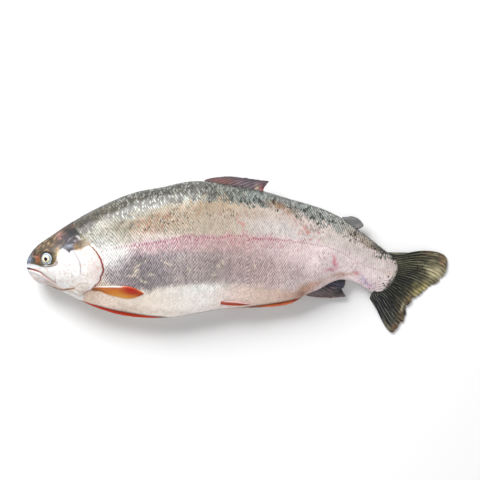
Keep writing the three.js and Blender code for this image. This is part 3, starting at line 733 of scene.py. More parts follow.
class Shade:
    """A shader's socket that can stand in sums. A sum on it adds a Math node, and node adds any other
    kind."""

    def __init__(self, material, socket=None):
        self.material = material
        self.socket = socket

    def node(self, kind, settings=None, inputs=None, output=0):
        """Adds a node. Its settings are set first, then its sockets, each by a number, a colour or another
        socket."""
        tree = self.material.node_tree
        made = tree.nodes.new(kind)
        for name, value in (settings or {}).items():
            setattr(made, name, value)
        for name, value in (inputs or {}).items():
            if isinstance(value, Shade):
                tree.links.new(value.socket, made.inputs[name])
            else:
                made.inputs[name].default_value = value
        return Shade(self.material, made.outputs[output])

    def maths(self, operation, *values):
        return self.node("ShaderNodeMath", {"operation": operation}, dict(enumerate(values)))

    def __add__(self, other):
        return self.maths("ADD", self, other)

    __radd__ = __add__

    def __mul__(self, other):
        return self.maths("MULTIPLY", self, other)

    __rmul__ = __mul__

    def __sub__(self, other):
        return self.maths("SUBTRACT", self, other)

    def __rsub__(self, other):
        return self.maths("SUBTRACT", other, self)

    def floor(self):
        return self.maths("FLOOR", self)

    def part(self):
        return self.maths("FRACT", self)

    def size(self):
        return self.maths("ABSOLUTE", self)

    def least(self, other):
        return self.maths("MINIMUM", self, other)

    def most(self, other):
        return self.maths("MAXIMUM", self, other)

    def below(self, other):
        return self.maths("LESS_THAN", self, other)

    def rise(self, low, high):
        """0 below low, 1 above high and smooth between."""
        inputs = {"Value": self, "From Min": low, "From Max": high}
        return self.node("ShaderNodeMapRange", {"interpolation_type": "SMOOTHSTEP"}, inputs)

    def over(self, ground, colour):
        """The ground with a colour laid over it, by this much."""
        inputs = {0: self, 6: ground, 7: colour}
        return self.node("ShaderNodeMix", {"data_type": "RGBA"}, inputs, 2)

    def shaded(self, amount):
        """This colour made lighter or darker by the factor amount."""
        return self.node("ShaderNodeVectorMath", {"operation": "SCALE"}, {0: self, "Scale": amount})

    def split(self):
        """The first two parts of this vector."""
        made = self.node("ShaderNodeSeparateXYZ", {}, {0: self})
        return made, Shade(self.material, made.socket.node.outputs[1])

    def attribute(self, name, output=2):
        return self.node("ShaderNodeAttribute", {"attribute_name": name}, {}, output)

    def map(self, name):
        return self.node("ShaderNodeUVMap", {"uv_map": name})

    def place(self):
        return self.node("ShaderNodeTexCoord", {}, {}, 3)

    def noise(self, where, scale, detail=2.0):
        return self.node("ShaderNodeTexNoise", {}, {"Vector": where, "Scale": scale, "Detail": detail})

    def chance(self, first, second):
        """A random number from 0 to 1 for every pair of whole numbers, and three more as a colour."""
        pair = self.node("ShaderNodeCombineXYZ", {}, {0: first, 1: second})
        made = self.node("ShaderNodeTexWhiteNoise", {"noise_dimensions": "2D"}, {"Vector": pair})
        return made, Shade(self.material, made.socket.node.outputs[1])

    def bump(self, height, strength, distance=FINE_BUMP):
        return self.node("ShaderNodeBump", {}, {"Height": height, "Strength": strength, "Distance": distance})


def finish(name):
    """A new material, as a Shade to add nodes with, and its principled shader."""
    material = bpy.data.materials.new(name)
    material.use_nodes = True
    return Shade(material), material.node_tree.nodes["Principled BSDF"]


def feed(shader, values):
    """Sets the sockets of a principled shader: a number stays on the socket and a Shade is linked to it."""
    for name, value in values.items():
        if isinstance(value, Shade):
            shader.id_data.links.new(value.socket, shader.inputs[name])
        else:
            shader.inputs[name].default_value = value


def ink(red, green, blue):
    """A colour by its look, for a socket."""
    return (*seen(red, green, blue).tolist(), 1.0)


SCALE_CURVE = 0.5
SCALE_BUMP = 0.00022


def trout_skin():
    """Skin with scales. Scales lie in rows q, each half a scale on from the next one, and every free edge
    is an arc, c = C sqrt(1 - dq^2). The nearer edge ahead of a place, in its own row or the next, is that
    of the scale it is on."""
    make, shader = finish("trout_skin")
    p, q = make.map("scales").split()
    first_row = q.floor()
    found = []
    for step in (0, 1):
        row = first_row + step
        away = q - row
        shift = (row * 0.5).part()
        bulge = make.maths("SQRT", (1 - away * away).most(0)) * SCALE_CURVE
        ahead = p - shift - bulge
        found.append((1 - ahead.part(), ahead.floor(), row))
    (own_gap, own_number, own_row), (next_gap, next_number, _) = found
    on_next = next_gap.below(own_gap)
    gap = own_gap.least(next_gap)
    number = own_number + on_next * (next_number - own_number)
    luck, lucks = make.chance(number, own_row + on_next)
    other_luck, rose_luck = lucks.split()

    where = make.place()
    broad = make.noise(where, 60, 3)
    fine = make.noise(where, 500, 2)
    cluster = make.noise(where, 130, 3)
    blotch = make.noise(where, 260, 3)
    scaly = make.attribute("scaly")
    hatch = make.attribute("hatch")
    off_row = (q - first_row - on_next) * make.maths("SIGN", q)
    free_edge = (1 - gap.rise(0.06, 0.46)) * off_row.rise(-0.45, 0.1) * (1 - 0.7 * off_row.rise(0.45, 1))
    on_back = make.attribute("on_back")
    back_here = on_back + 0.9 * (luck - 0.5) + 0.6 * (cluster - 0.5)
    back_here = back_here.rise(0.35, 0.65) * on_back.rise(0.02, 0.2) * scaly
    colour = back_here.over(make.attribute("ground", 0), make.attribute("back", 0))
    rusty = make.attribute("rust") * (other_luck + 0.3 * (cluster - 0.5)).rise(0.6, 0.75)
    colour = (rusty * 0.65).over(colour, ink(120, 66, 26))
    speck = (make.attribute("rust") + 0.5 * back_here).least(1) * other_luck.below(0.07)
    colour = (speck * 0.7).over(colour, ink(40, 36, 22))
    rosy = (make.attribute("rosy") + 0.9 * (rose_luck - 0.5)).rise(0.22, 0.8) * (0.15 + 0.85 * free_edge)
    colour = rosy.least(1).over(colour, ink(156, 30, 72))

    # The crescent on one side of each scale's free edge is darkened: partly the scales' pigment, partly
    # painted shadow of the overlapping edges.
    tone = 0.44 - 1.4 * free_edge + 0.75 * (luck - 0.5)
    uneven = 0.35 * (broad - 0.5) + 0.5 * scaly * (blotch - 0.5) + 0.15 * (fine - 0.5)
    tone = 1 + hatch * tone * (1 + 0.5 * back_here) + uneven
    crown = make.attribute("crown")
    tone = tone + crown * (1.1 * (blotch - 0.5) + 0.8 * (cluster - 0.5))
    colour = colour.shaded(tone.most(0.1))
    # Silvery scales on the back, lightened in the base colour: their silver is real, and the brightest of
    # them are painted glints.
    silver_and_glint = back_here * other_luck.rise(0.5, 0.95) * (1 - free_edge)
    silver_and_glint = silver_and_glint * (0.2 + 0.8 * make.attribute("glitter"))
    colour = (silver_and_glint * 0.56).over(colour, ink(182, 188, 178))
    dark = back_here * (cluster + 0.3 * (rose_luck - 0.5)).rise(0.59, 0.66)
    colour = (dark * 0.78).over(colour, ink(22, 24, 15))
    tinted = make.attribute("face") * blotch.rise(0.52, 0.68)
    colour = (tinted * 0.45).over(colour, ink(226, 188, 172))
    vein = make.attribute("face") * (1 - (cluster - 0.5).size().rise(0.0, 0.035)) * blotch.rise(0.38, 0.55)
    colour = (vein * 0.55).over(colour, ink(200, 166, 146))
    pore = (1 - q.size().rise(0.25, 0.6)) * (1 - (gap - 0.25).size().rise(0.12, 0.3)) * scaly
    colour = (pore * (0.3 + 0.35 * make.attribute("line"))).over(colour, ink(158, 74, 100))
    cells = make.node("ShaderNodeTexVoronoi", {}, {"Vector": where, "Scale": 140})
    cell_luck, _ = Shade(cells.material, cells.socket.node.outputs[1]).split()
    spot = make.attribute("spotted") * (1 - cells.rise(0.14, 0.24)) * (1 - cell_luck.rise(0.6, 0.7))
    colour = (spot * 0.92).over(colour, ink(24, 24, 26))
    height = (1 - gap) * scaly * (0.4 + 0.6 * hatch) + 0.35 * fine
    feed(shader, {
        "Base Color": colour,
        "Roughness": 0.44 - 0.12 * silver_and_glint + 0.12 * (fine - 0.5) + 0.25 * crown,
        "Metallic": 0.08 * scaly + 0.1 * silver_and_glint,
        "Coat Weight": 0.25 - 0.22 * crown,
        "Coat Roughness": 0.22,
        "Normal": make.bump(height, 0.7, SCALE_BUMP),
    })
    return make.material


SKIN_FINISH = trout_skin()


def dress(piece, material, node):
    """Gives a piece its material, its place on the body and the solid that it stands for."""
    piece.data.materials.append(material)
    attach(piece, "root")
    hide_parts(node)


dress(skin_piece(), SKIN_FINISH, "trout")


# The gill covers: bony plates under thin silver skin, one on each side of the head. Each grows out of the
# cheek and ends behind in a free, rounded rim that stands off the shoulder.
def flank_point(x, y, side, grow=0.0):
    """The skin's point over a place in the side view, on the left (side 1) or the right (side -1)."""
    centre, depth, *_ = section_at(x)
    angle = angle_at((y - centre) / depth)
    return skin_point(x, angle if side > 0 else np.pi - angle, grow)


def plate_rings(x, y, side, outer, inner):
    """Rings over something flat that lies on the skin: over its outer face and back over its inner one,
    each given as its distance off the skin."""
    faces = [flank_point(x, y, side, outer), flank_point(x, y, side, inner)[:, ::-1]]
    return np.concatenate(faces, axis=1)


def patch(root, outer, front, rear, u, v):
    """The Coons patch between four lines: the two blends of facing lines, less the blend of the corners."""
    low, high, first, last = line(root, u), line(outer, u), line(front, v), line(rear, v)
    u, v = u[..., None], v[..., None]
    corners = (1 - u) * (1 - v) * line(root, 0) + u * (1 - v) * line(root, 1)
    corners = corners + (1 - u) * v * line(outer, 0) + u * v * line(outer, 1)
    return (1 - v) * low + v * high + (1 - u) * first + u * last - corners


GILL_COVER_FRONT = [[70, 8], [76, -6], [79, -22], [77, -38], [66, -49], [50, -55]]
GILL_COVER_RIM = [
    [85, 13], [91, 7], [100, -2], [107, -14], [110, -27], [107, -37], [103, -45], [93, -54], [83, -61],
    [74, -65],
]
RIM_PROUD = 2.8
COVER_ROOT = -2.5
COVER_THICKNESS = 1.5
RIM_MIDDLE = np.array([80, -25])
SIDES = (("left", 1), ("right", -1))


def grid(across, along):
    """Two parameters over a grid, each from 0 to 1: u down its first side and v along the other."""
    return np.linspace(0, 1, across)[:, None], np.linspace(0, 1, along)[None, :]


def rim_wave(u):
    """How far the rim wavers outwards: 0.55 sin 41u, mostly in its lower half, and 0.2 sin 97u."""
    return 0.55 * np.sin(41 * u + 1) * rise(u, 0.3, 0.6) + 0.2 * np.sin(97 * u)


def gill_cover(side):
    """u runs down the plate and v from the cheek to the rim. The outer face swells as v to the rim, and the
    inner face rises from below the skin to the cover's thickness under the rim."""
    u, v = grid(90, 84)
    spots = patch(GILL_COVER_FRONT, GILL_COVER_RIM, [GILL_COVER_FRONT[0], GILL_COVER_RIM[0]],
                  [GILL_COVER_FRONT[-1], GILL_COVER_RIM[-1]], u, v)
    outwards = spots - RIM_MIDDLE
    outwards = outwards / np.linalg.norm(outwards, axis=-1, keepdims=True)
    spots = spots + outwards * (rim_wave(u) * rise(v, 0.6, 1))[..., None]
    x, y = spots[..., 0], spots[..., 1]
    rim = RIM_PROUD * lerp(0.35, 1, np.sin(np.pi * u))
    dents = np.stack([x, y, 0 * x], axis=-1)
    waves = 0.16 * ripple(dents, 9, 51) + 0.25 * ripple(dents, 24, 52)
    fans = 0.14 * np.sin(2 * np.pi * 13 * u + 2 * v) * v * (1 - v) * 4 * rise(u, 0.55, 0.9)
    outer = rim * lerp(0.12, 1, v) + (waves + fans) * np.sin(np.pi * v) + 0.3 * np.sin(np.pi * v)
    outer = outer - 0.5 * rim * rise(v, 0.965, 1) ** 2
    under = lerp(COVER_ROOT, rim - COVER_THICKNESS, rise(v, 0.7, 1))
    rings = plate_rings(x, y, side, outer, under)
    ground, _, values = marked(rings)
    inner = np.concatenate([np.zeros_like(x), np.ones_like(x)], axis=1)
    edge_on = np.concatenate([rise(v * np.ones_like(u), 0.97, 1), np.zeros_like(x)], axis=1)
    white = graded(rings[..., 0], (70, 251, 251, 250), (90, 243, 238, 234), (112, 238, 230, 226))
    on_plate = rise(-rings[..., 1], -4, 4)
    ground = coated(ground, white, 0.5 * on_plate * (1 - inner) * rise(rings[..., 0], 84, 100))
    ground = coated(ground, seen(206, 140, 128), 0.5 * edge_on)
    ground = coated(ground, seen(150, 60, 52), 0.8 * inner)
    return rings, ground, {key: values[key] for key in ("face", "crown")}


for side_name, side in SIDES:
    rings, ground, values = gill_cover(side)
    cover = loft(f"gill_cover_{side_name}", rings, floats=values, colours={"ground": ground},
                 maps={"scales": rings[..., :2]})
    dress(cover, SKIN_FINISH, "trout")


# The gills: soft dark-red tissue under each cover, fixed along its root. It shows as a thin line behind the
# cover's rim, brown where it thins out on top.
GILL_ROOT = -1.5
GILL_PROUD = 1.3
GILL_REACH = (-4.5, 2.1)


def gill_strip(side):
    """u runs down the rim, and v from the reach within it to the reach beyond it. The strip stands off by
    g sqrt(sin(pi v)), finely frilled."""
    u, v = grid(160, 26)
    rim = line(GILL_COVER_RIM, u[:, 0])
    run = np.gradient(rim, axis=0)
    run = run / np.linalg.norm(run, axis=1, keepdims=True)
    outwards = np.stack([-run[:, 1], run[:, 0]], axis=-1)
    outwards = outwards * np.sign(np.sum(outwards * (rim - RIM_MIDDLE), axis=1, keepdims=True))
    wide = lerp(0.35, 1, np.sin(np.pi * np.clip(u * 1.05 - 0.02, 0, 1)) ** 0.6)
    within, beyond = GILL_REACH
    reach = lerp(within, beyond * wide + rim_wave(u), v)
    spots = rim[:, None, :] + outwards[:, None, :] * reach[..., None]
    x, y = spots[..., 0], spots[..., 1]
    frill = 0.12 * np.sin(2 * np.pi * 90 * u + 0 * v)
    outer = (GILL_PROUD * wide + frill) * np.sqrt(np.clip(np.sin(np.pi * lerp(0.08, 1, v)), 0, 1))
    rings = plate_rings(x, y, side, outer, GILL_ROOT)
    return rings, np.broadcast_to(u, rings.shape[:2])


def gill_tissue():
    """Wet dark-red tissue with blood in patches, olive brown at its upper end."""
    make, shader = finish("gill_tissue")
    down = make.attribute("down")
    blood = make.noise(make.place(), 260, 3)
    colour = down.rise(0.16, 0.34).over(ink(136, 118, 62), ink(168, 40, 40))
    colour = (0.7 * blood.rise(0.45, 0.65)).over(colour, ink(112, 26, 26))
    feed(shader, {
        "Base Color": colour,
        "Roughness": 0.3 + 0.15 * blood,
        "Coat Weight": 0.4,
        "Coat Roughness": 0.15,
        "Normal": make.bump(blood, 0.5),
    })
    return make.material


GILL_FINISH = gill_tissue()
for side_name, side in SIDES:
    rings, down = gill_strip(side)
    dress(loft(f"gills_{side_name}", rings, floats={"down": down}), GILL_FINISH, "trout")


# The upper jaw's side plates: a slim bone under skin on each side of the mouth, from under the eye's front
# to the corner of the jaws.
JAW_TOP = [[19, -24.5], [27, -27], [34, -31.5], [40, -37], [43.5, -42]]
JAW_LOW = [[19, -29], [25, -32.5], [32, -38.5], [38, -43], [43, -44.5]]
JAW_PROUD = 1.5
JAW_ROOT = -2.5
JAW_SET_IN = 0.25


def jaw_plate(side):
    """u runs across the plate and v along it. It is proud by p sqrt(sin(pi u)) (1 - (2v - 1)^6), less
    what it is set in."""
    u, v = grid(26, 70)
    spots = patch([JAW_TOP[0], JAW_LOW[0]], [JAW_TOP[-1], JAW_LOW[-1]], JAW_TOP, JAW_LOW, u, v)
    x, y = spots[..., 0], spots[..., 1]
    crown = np.sqrt(np.sin(np.pi * lerp(0.02, 0.98, u))) * (1 - np.abs(2 * v - 1) ** 6)
    ridge = 0.15 * np.sin(np.pi * u * 3) * np.sin(np.pi * v)
    rings = plate_rings(x, y, side, JAW_PROUD * crown - JAW_SET_IN + ridge, JAW_ROOT)
    rim = np.concatenate([1 - rise(crown, 0.3, 0.75), np.ones_like(crown)], axis=1)
    ground = np.ones((*rim.shape, 3)) * seen(240, 238, 234)
    return rings, coated(ground, seen(184, 146, 148), 0.85 * rim)


for side_name, side in SIDES:
    rings, ground = jaw_plate(side)
    plate = loft(f"jaw_plate_{side_name}", rings, colours={"ground": ground}, maps={"scales": rings[..., :2]})
    dress(plate, SKIN_FINISH, "trout")


# The eyes: wet, lidless balls, held by the sockets' skin. Each has a dark pupil, a cream iris and a
# blue-grey outer ring, under a clear cornea.
EYE_RADIUS = 10.5
EYE_DEPTH = 6.6
CORNEA_BULGE = 0.5


def eyeball(side):
    """Rings round the ball's own axis, half way between straight out and the skin's normal: radius R sin a
    at a height R cos a, with the clear cornea's bulge, b exp(-(a / 0.5)^2), over the pupil."""
    a = np.linspace(0.02, np.pi - 0.02, 60)[:, None]
    b = np.linspace(0, 2 * np.pi, 96, endpoint=False)[None, :]
    spot = flank_point(np.array(EYE_X), np.array(EYE_Y), side)
    along = flank_point(np.array(EYE_X + 1.0), np.array(EYE_Y), side) - spot
    over = flank_point(np.array(EYE_X), np.array(EYE_Y + 1.0), side) - spot
    normal = np.cross(along, over) * side
    normal = normal / np.linalg.norm(normal)
    axis = lerp(np.array([0, 0, float(side)]), normal, 0.5)
    axis = axis / np.linalg.norm(axis)
    across = np.cross([0, 1, 0], axis)
    across = across / np.linalg.norm(across)
    up = np.cross(axis, across)
    radius = EYE_RADIUS + CORNEA_BULGE * np.exp(-(a / 0.5) ** 2) + 0 * b
    middle = spot - normal * EYE_DEPTH
    rings = middle + radius[..., None] * (
        (np.cos(a) + 0 * b)[..., None] * axis
        + (np.sin(a) * np.cos(b))[..., None] * across
        + (np.sin(a) * np.sin(b))[..., None] * up
    )
    flat = np.stack([rings[..., 0] - spot[0], rings[..., 1] - spot[1]], axis=-1)
    return rings, flat


def eye_finish():
    """Coloured by r, the distance in mm from the pupil's middle, which lies a little ahead of the ball's."""
    make, shader = finish("eye")
    x, y = make.map("eye").split()
    x = x + 1.0
    r = make.maths("SQRT", x * x + y * y)
    oval = make.maths("SQRT", x * x * 1.7 + y * y)
    fibres = make.noise(make.place(), 900, 3)
    r = r + 0.5 * (fibres - 0.5)
    colour = r.rise(4.6, 5.6).over(ink(246, 232, 202), ink(150, 168, 180))
    colour = (0.8 * r.rise(3.9, 4.5) * (1 - r.rise(4.6, 5.2))).over(colour, ink(226, 196, 130))
    colour = r.rise(6.3, 7.4).over(colour, ink(196, 208, 214))
    colour = r.rise(8, 8.9).over(colour, ink(70, 66, 58))
    colour = (1 - oval.rise(2.9, 3.5)).over(colour, ink(6, 8, 22))
    feed(shader, {
        "Base Color": colour,
        "Roughness": 0.12,
        "Coat Weight": 1.0,
        "Coat Roughness": 0.04,
        "Normal": make.bump(fibres, 0.2, 0.0001),
    })
    return make.material


EYE_FINISH = eye_finish()
for side_name, side in SIDES:
    rings, flat = eyeball(side)
    dress(loft(f"eye_ball_{side_name}", rings, maps={"eye": flat}), EYE_FINISH, f"eye_{side_name}")


# The flesh at the belly cut: one band of orange-pink muscle between the flaps, from the throat to the vent.
# It lies on the lower flap and shows where the upper flap falls short.
FLESH_DEPTH = 7
FLESH_INSET = 0.6
FLESH_TIP = 0.3
FLESH_BELOW = 4
FLESH_ABOVE = 1
BLOCK_LENGTH = 6.5


def flesh_band():
    """Rings along the slit, rounded oblongs |cos|^0.5, |sin|^0.5, from the inset within the lower flap's
    edge to the depth behind the upper one's, swelling and sinking with the muscle's blocks."""
    d = np.linspace(CUT_FROM + 0.5, CUT_TO - 0.5, 460)[:, None]
    turn = np.linspace(0, 2 * np.pi, 44, endpoint=False)[None, :]
    centre, depth, _, mid, sag = section_at(d)
    edge = centre - depth
    level = mid - sag
    ends = np.minimum(rise(d, CUT_FROM, CUT_FROM + CUT_TAPER), 1 - rise(d, CUT_TO - CUT_TAPER, CUT_TO))
    taper = lerp(FLESH_TIP, 1, ends)
    inner = edge + flesh_shown(d) + FLESH_DEPTH * taper
    outer = edge + FLESH_INSET
    low = level - FLESH_BELOW * taper
    high = level + FLESH_ABOVE * taper
    c, s = np.cos(turn), np.sin(turn)
    height = (inner + outer) / 2 + (inner - outer) / 2 * np.sign(c) * np.abs(c) ** 0.5
    z = (low + high) / 2 + (high - low) / 2 * np.sign(s) * np.abs(s) ** 0.5
    block = np.sin(2 * np.pi * (d / BLOCK_LENGTH + 0.35 * np.sin(height / 3.2)))
    z = z + np.clip(s, 0, 1) * (0.22 * block + 0.9 * np.exp(-((height - outer - 3) / 2.6) ** 2) * taper)
    rings = on_axis(d, height, z)
    rings = rings + 0.16 * ripple(rings, 9, 61)[..., None] * np.array([0, 1, 1])
    values = {
        "behind": rise(d, 215, 262) + 0 * height,
        "end": rise(d, 374, 384) + 0 * height,
        "outwards": 1 - rise(height - outer, 0, 3.5),
        # Painted shade: dark marks the middle stretch, where the upper flap's edge shades the flesh, and
        # inwards the part further in under the flap.
        "dark": rise(d, 172, 204) * (1 - rise(d, 322, 346)) + 0 * height,
        "inwards": rise(height - outer, 1.5, 5) * rise(d, 280, 300),
    }
    return rings, values


def flesh_finish():
    """Orange flesh with redder patches: paler behind, brown in its middle as painted shade under the upper
    flap, and dull red at the vent.
    """
    make, shader = finish("trout_flesh")
    where = make.place()
    broad = make.noise(where, 90, 3)
    fine = make.noise(where, 700, 3)
    outwards = make.attribute("outwards")
    colour = make.attribute("behind").over(ink(240, 66, 14), ink(250, 128, 62))
    colour = (0.5 * broad.rise(0.45, 0.7)).over(colour, ink(206, 36, 8))
    colour = (0.35 * outwards).over(colour, ink(178, 30, 12))
    # Painted shade under the upper flap: darker red further in, and brown along the middle stretch.
    colour = (0.75 * make.attribute("inwards")).over(colour, ink(150, 44, 22))
    colour = (0.85 * make.attribute("dark")).over(colour, ink(98, 46, 24))
    colour = (0.85 * make.attribute("end")).over(colour, ink(158, 44, 40))
    colour = colour.shaded(1 + 0.3 * (fine - 0.5))
    feed(shader, {
        "Base Color": colour,
        "Roughness": 0.42 + 0.2 * fine,
        "Specular IOR Level": 0.3,
        "Coat Weight": 0.1,
        "Coat Roughness": 0.2,
        "Normal": make.bump(fine, 0.5),
    })
    return make.material


FLESH_FINISH = flesh_finish()
rings, values = flesh_band()
dress(loft("flesh_band", rings, floats=values), FLESH_FINISH, "belly_flesh")


# The fins: soft rays with a thin membrane between them. Each one grows out of the body along its root and
# thins out to a soft edge, and lies as it fell, folded or half spread.
FINS = {
    "tail_fin": {
        "root": [[508, -3], [518, -18], [517, -34], [507, -50], [493, -60]],
        "front": [[508, -3], [525, -6], [537, -6], [548, -3], [565, -1], [582, -2], [594, -6], [599, -11]],
        "rear": [[493, -60], [489, -68], [491, -73], [496, -78], [502, -92], [511, -109], [518, -117],
                 [523, -118]],
        "outer": [[599, -11], [600, -17], [598, -31], [588, -45], [574, -53], [559, -67], [546, -77],
                  [543, -86], [540, -99], [532, -108], [523, -118]],
        "across": 460, "along": 90, "rays": 28, "ridge": 0.16, "half": (3, 0.55), "z": (12.5, 2.2),
        "ragged": 0.035,
    },
    "dorsal_fin": {
        "root": [[250, 93.5], [282, 87], [311, 81], [335, 74]],
        "front": [[250, 93.5], [254, 100]],
        "rear": [[335, 74], [336, 90], [340, 95.5], [345, 98]],
        "outer": [[254, 100], [264, 102.6], [278, 104.3], [289, 104.8], [306, 103.4], [326, 100.6],
                  [345, 98]],
        "across": 240, "along": 40, "rays": 11, "sweep": 0.45, "ridge": 0.25,
        "half": (2.4, 0.5), "z": (35.5, 33), "ragged": 0.03,
    },
    "adipose_fin": {
        "root": [[443, 40], [454, 35.5], [465, 28]],
        "front": [[443, 40], [450, 47.2]],
        "rear": [[465, 28], [473, 30]],
        "outer": [[450, 47.2], [457, 47.6], [463, 48.4], [472, 45], [478, 39], [479.5, 34], [473, 30]],
        "across": 90, "along": 50, "rays": 7, "ridge": 0.06, "half": (2.2, 1.0), "z": (20.5, 19), "ragged": 0,
    },
    "anal_fin_lower": {
        "root": [[394, -58], [410, -53], [426, -46], [440, -37]],
        "front": [[394, -58], [395, -64]],
        "rear": [[440, -37], [446, -52], [450, -62], [455, -66.5]],
        "outer": [[395, -64], [405, -66.5], [417, -68], [432, -69], [446, -68], [455, -66.5]],
        "across": 180, "along": 50, "rays": 8, "sweep": 0.45, "ridge": 0.25, "half": (2, 0.5), "z": (14.5, 9),
        "ragged": 0.03,
    },
    "anal_fin_upper": {
        "root": [[418, -50], [428, -44], [437, -37]],
        "front": [[418, -50], [438, -57], [446, -56]],
        "rear": [[437, -37], [446, -42], [454, -43]],
        "outer": [[446, -56], [451, -54], [454, -49], [454, -43]],
        "across": 100, "along": 60, "rays": 5, "ridge": 0.35, "half": (2, 0.5), "z": (17.5, 16),
        "ragged": 0.03,
    },
}


def fin_rings(form):
    """u runs across the rays and v along them. Half the thickness falls as the square root of v, with a
    ridge cos(2 pi rays (u - sweep v)) on every ray, and closes to an edge along the rim, which is ragged at
    the rays' ends."""
    u, v = grid(form["across"], form["along"])
    torn = np.stack([40 * u[:, 0], 0 * u[:, 0], 0 * u[:, 0]], axis=-1)
    fray = form["ragged"] * (0.8 * ripple(torn, 3.5, 71) + 0.25 * ripple(torn, 1.1, 72) - 0.3)
    reach = v * (1 + np.minimum(fray, 0.02)[:, None] * np.sin(np.pi * u) ** 0.5 * rise(v, 0.4, 1))
    spots = patch(form["root"], form["outer"], form["front"], form["rear"], u + 0 * v, np.clip(reach, 0, 1))
    swept = u - form.get("sweep", 0) * v
    fold = np.cos(2 * np.pi * form["rays"] * swept) * rise(v, 0.05, 0.3)
    closing = np.sqrt(np.clip(1 - ((v - 0.86) / 0.14).clip(0, 1) ** 2, 0.02, 1))
    closing = closing * np.clip(np.minimum(u, 1 - u) / 0.02, 0.05, 1) ** 0.5
    half = (lerp(*form["half"], np.sqrt(v)) + form["ridge"] * fold) * closing
    flat = np.stack([spots[..., 0], spots[..., 1], 0 * spots[..., 0]], axis=-1)
    middle = lerp(*form["z"], rise(v, 0, 1)) + 0.5 * ripple(flat, 26, 73) * rise(v, 0.2, 0.8)
    top = np.maximum(middle + half, 0.3)
    low = np.maximum(middle - half, 0.0)
    faces = [np.stack([spots[..., 0], spots[..., 1], face], axis=-1) for face in (top, low)]
    rings = np.concatenate([faces[0], faces[1][:, ::-1]], axis=1)
    flat = np.stack(np.broadcast_arrays(swept, v), axis=-1)
    return rings, np.concatenate([flat, flat[:, ::-1]], axis=1)


def fin_finish(name, rays, ray_colour, gap_colour, line_amount, mottle, spots=0.0):
    """Rays as lines at whole numbers of s = rays u, each of its own strength and forked in its outer half,
    with streaks along them and rows of spots between."""
    make, shader = finish(name)
    u, v = make.map("rays").split()
    where = make.place()
    broad = make.noise(where, 70, 3)
    fine = make.noise(where, 600, 2)
    s = u * rays + 0.5 * (broad - 0.5)
    across = 2 * (s.part() - 0.5).size()
    forked = 2 * ((s * 2).part() - 0.5).size()
    luck, _ = make.chance((s + 0.5).floor(), 3.0)
    stretched = make.node("ShaderNodeCombineXYZ", {}, {0: s * 0.9, 1: v * 3.0})
    streak = make.noise(stretched, 1.5, 4)
    tone = 1 + mottle * 3.4 * (streak - 0.5) + 0.3 * (fine - 0.5)
    colour = make.attribute("ground", 0).shaded(tone.most(0.15))
    outer = v.rise(0.4, 0.65)
    lines = across.rise(0.74, 0.96) * (1 - outer) + forked.rise(0.5, 0.9) * outer
    ray = lines * (0.25 + 0.75 * luck) * streak.rise(0.32, 0.55) * v.rise(0.0, 0.08)
    colour = (1.3 * line_amount * ray).least(0.9).over(colour, ray_colour)
    between = (1 - across.rise(0.05, 0.6)) * (1 - outer)
    between = between + (1 - across.rise(0.1, 0.45)) * outer * streak.rise(0.4, 0.6)
    colour = (1.6 * line_amount * between).least(0.95).over(colour, gap_colour)
    if spots:
        row = s.floor()
        along = v * 21 + (row * 0.5).part()
        dx = s.part() - 0.5
        dy = along.part() - 0.5
        spot_luck, _ = make.chance(row, along.floor())
        gap = make.maths("SQRT", dx * dx * 1.4 + dy * dy)
        spot = (1 - gap.rise(0.32, 0.46)) * spot_luck.rise(0.2, 0.3) * make.attribute("spotted")
        colour = (spots * spot).over(colour, ink(10, 11, 10))
    feed(shader, {
        "Base Color": colour,
        "Roughness": 0.5 + 0.2 * (fine - 0.5),
        "Specular IOR Level": 0.3,
        "Coat Weight": 0.08,
        "Coat Roughness": 0.3,
        "Normal": make.bump(lines * 0.5 + fine * 0.5, 0.5),
    })
    return make.material


TAIL_DAUBS = (
    ((206, 194, 154), 0.95, (584, -33), (15, 11), -0.5),
    ((186, 172, 116), 0.95, (563, -56), (17, 7.5), 0.65),
    ((120, 96, 62), 0.9, (547, -70), (7, 5), 0.6),
    ((96, 76, 56), 0.9, (580, -7), (20, 4), -0.2),
    ((150, 122, 90), 0.9, (596, -16), (6, 9), 0),
    ((20, 24, 40), 1.5, (509, -86), (13, 30), 0.35),
    ((112, 88, 58), 0.9, (536, -100), (6, 16), 0.2),
    ((124, 88, 54), 0.8, (526, -113), (7, 5), 0),
    ((190, 176, 146), 0.85, (536, -82), (2.2, 7), -0.5),
)


def tail_ground(rings):
    """The tail fin's colours, laid on place by place: olive black, with a yellow-olive outer part in the
    upper lobe, a navy lower lobe and brown edges. Also how strongly its rows of spots show."""
    x, y = rings[..., 0], rings[..., 1]
    xw = x + 2.5 * ripple(rings, 12, 81)
    yw = y + 2.5 * ripple(rings, 12, 82)
    ground = np.ones((*x.shape, 3)) * seen(30, 32, 26)
    ground = daubed(ground, xw, yw, [((84, 84, 62), 0.8, (552, -17), (36, 12), -0.1)])
    ground = daubed(ground, x, y, [((10, 15, 24), 1.3, (516, -5), (18, 7), 0)])
    ground = daubed(ground, xw, yw, TAIL_DAUBS)
    spotted = rise(x, 512, 520) * rise(y, -44, -30) * (1 - rise(x, 562, 578))
    return ground, spotted


def plain_ground(rings, look, *daubs):
    """A ground of one colour with daubs over it."""
    x, y = rings[..., 0], rings[..., 1]
    return daubed(np.ones((*x.shape, 3)) * seen(*look), x, y, daubs)


rings, rays = fin_rings(FINS["tail_fin"])
ground, spotted = tail_ground(rings)
tail = loft("tail_fin", rings, floats={"spotted": spotted}, colours={"ground": ground}, maps={"rays": rays})
tail_rays = fin_finish("tail_rays", FINS["tail_fin"]["rays"], ink(166, 164, 134), ink(6, 7, 8), 0.62, 0.8,
                       0.97)
dress(tail, tail_rays, "trout")

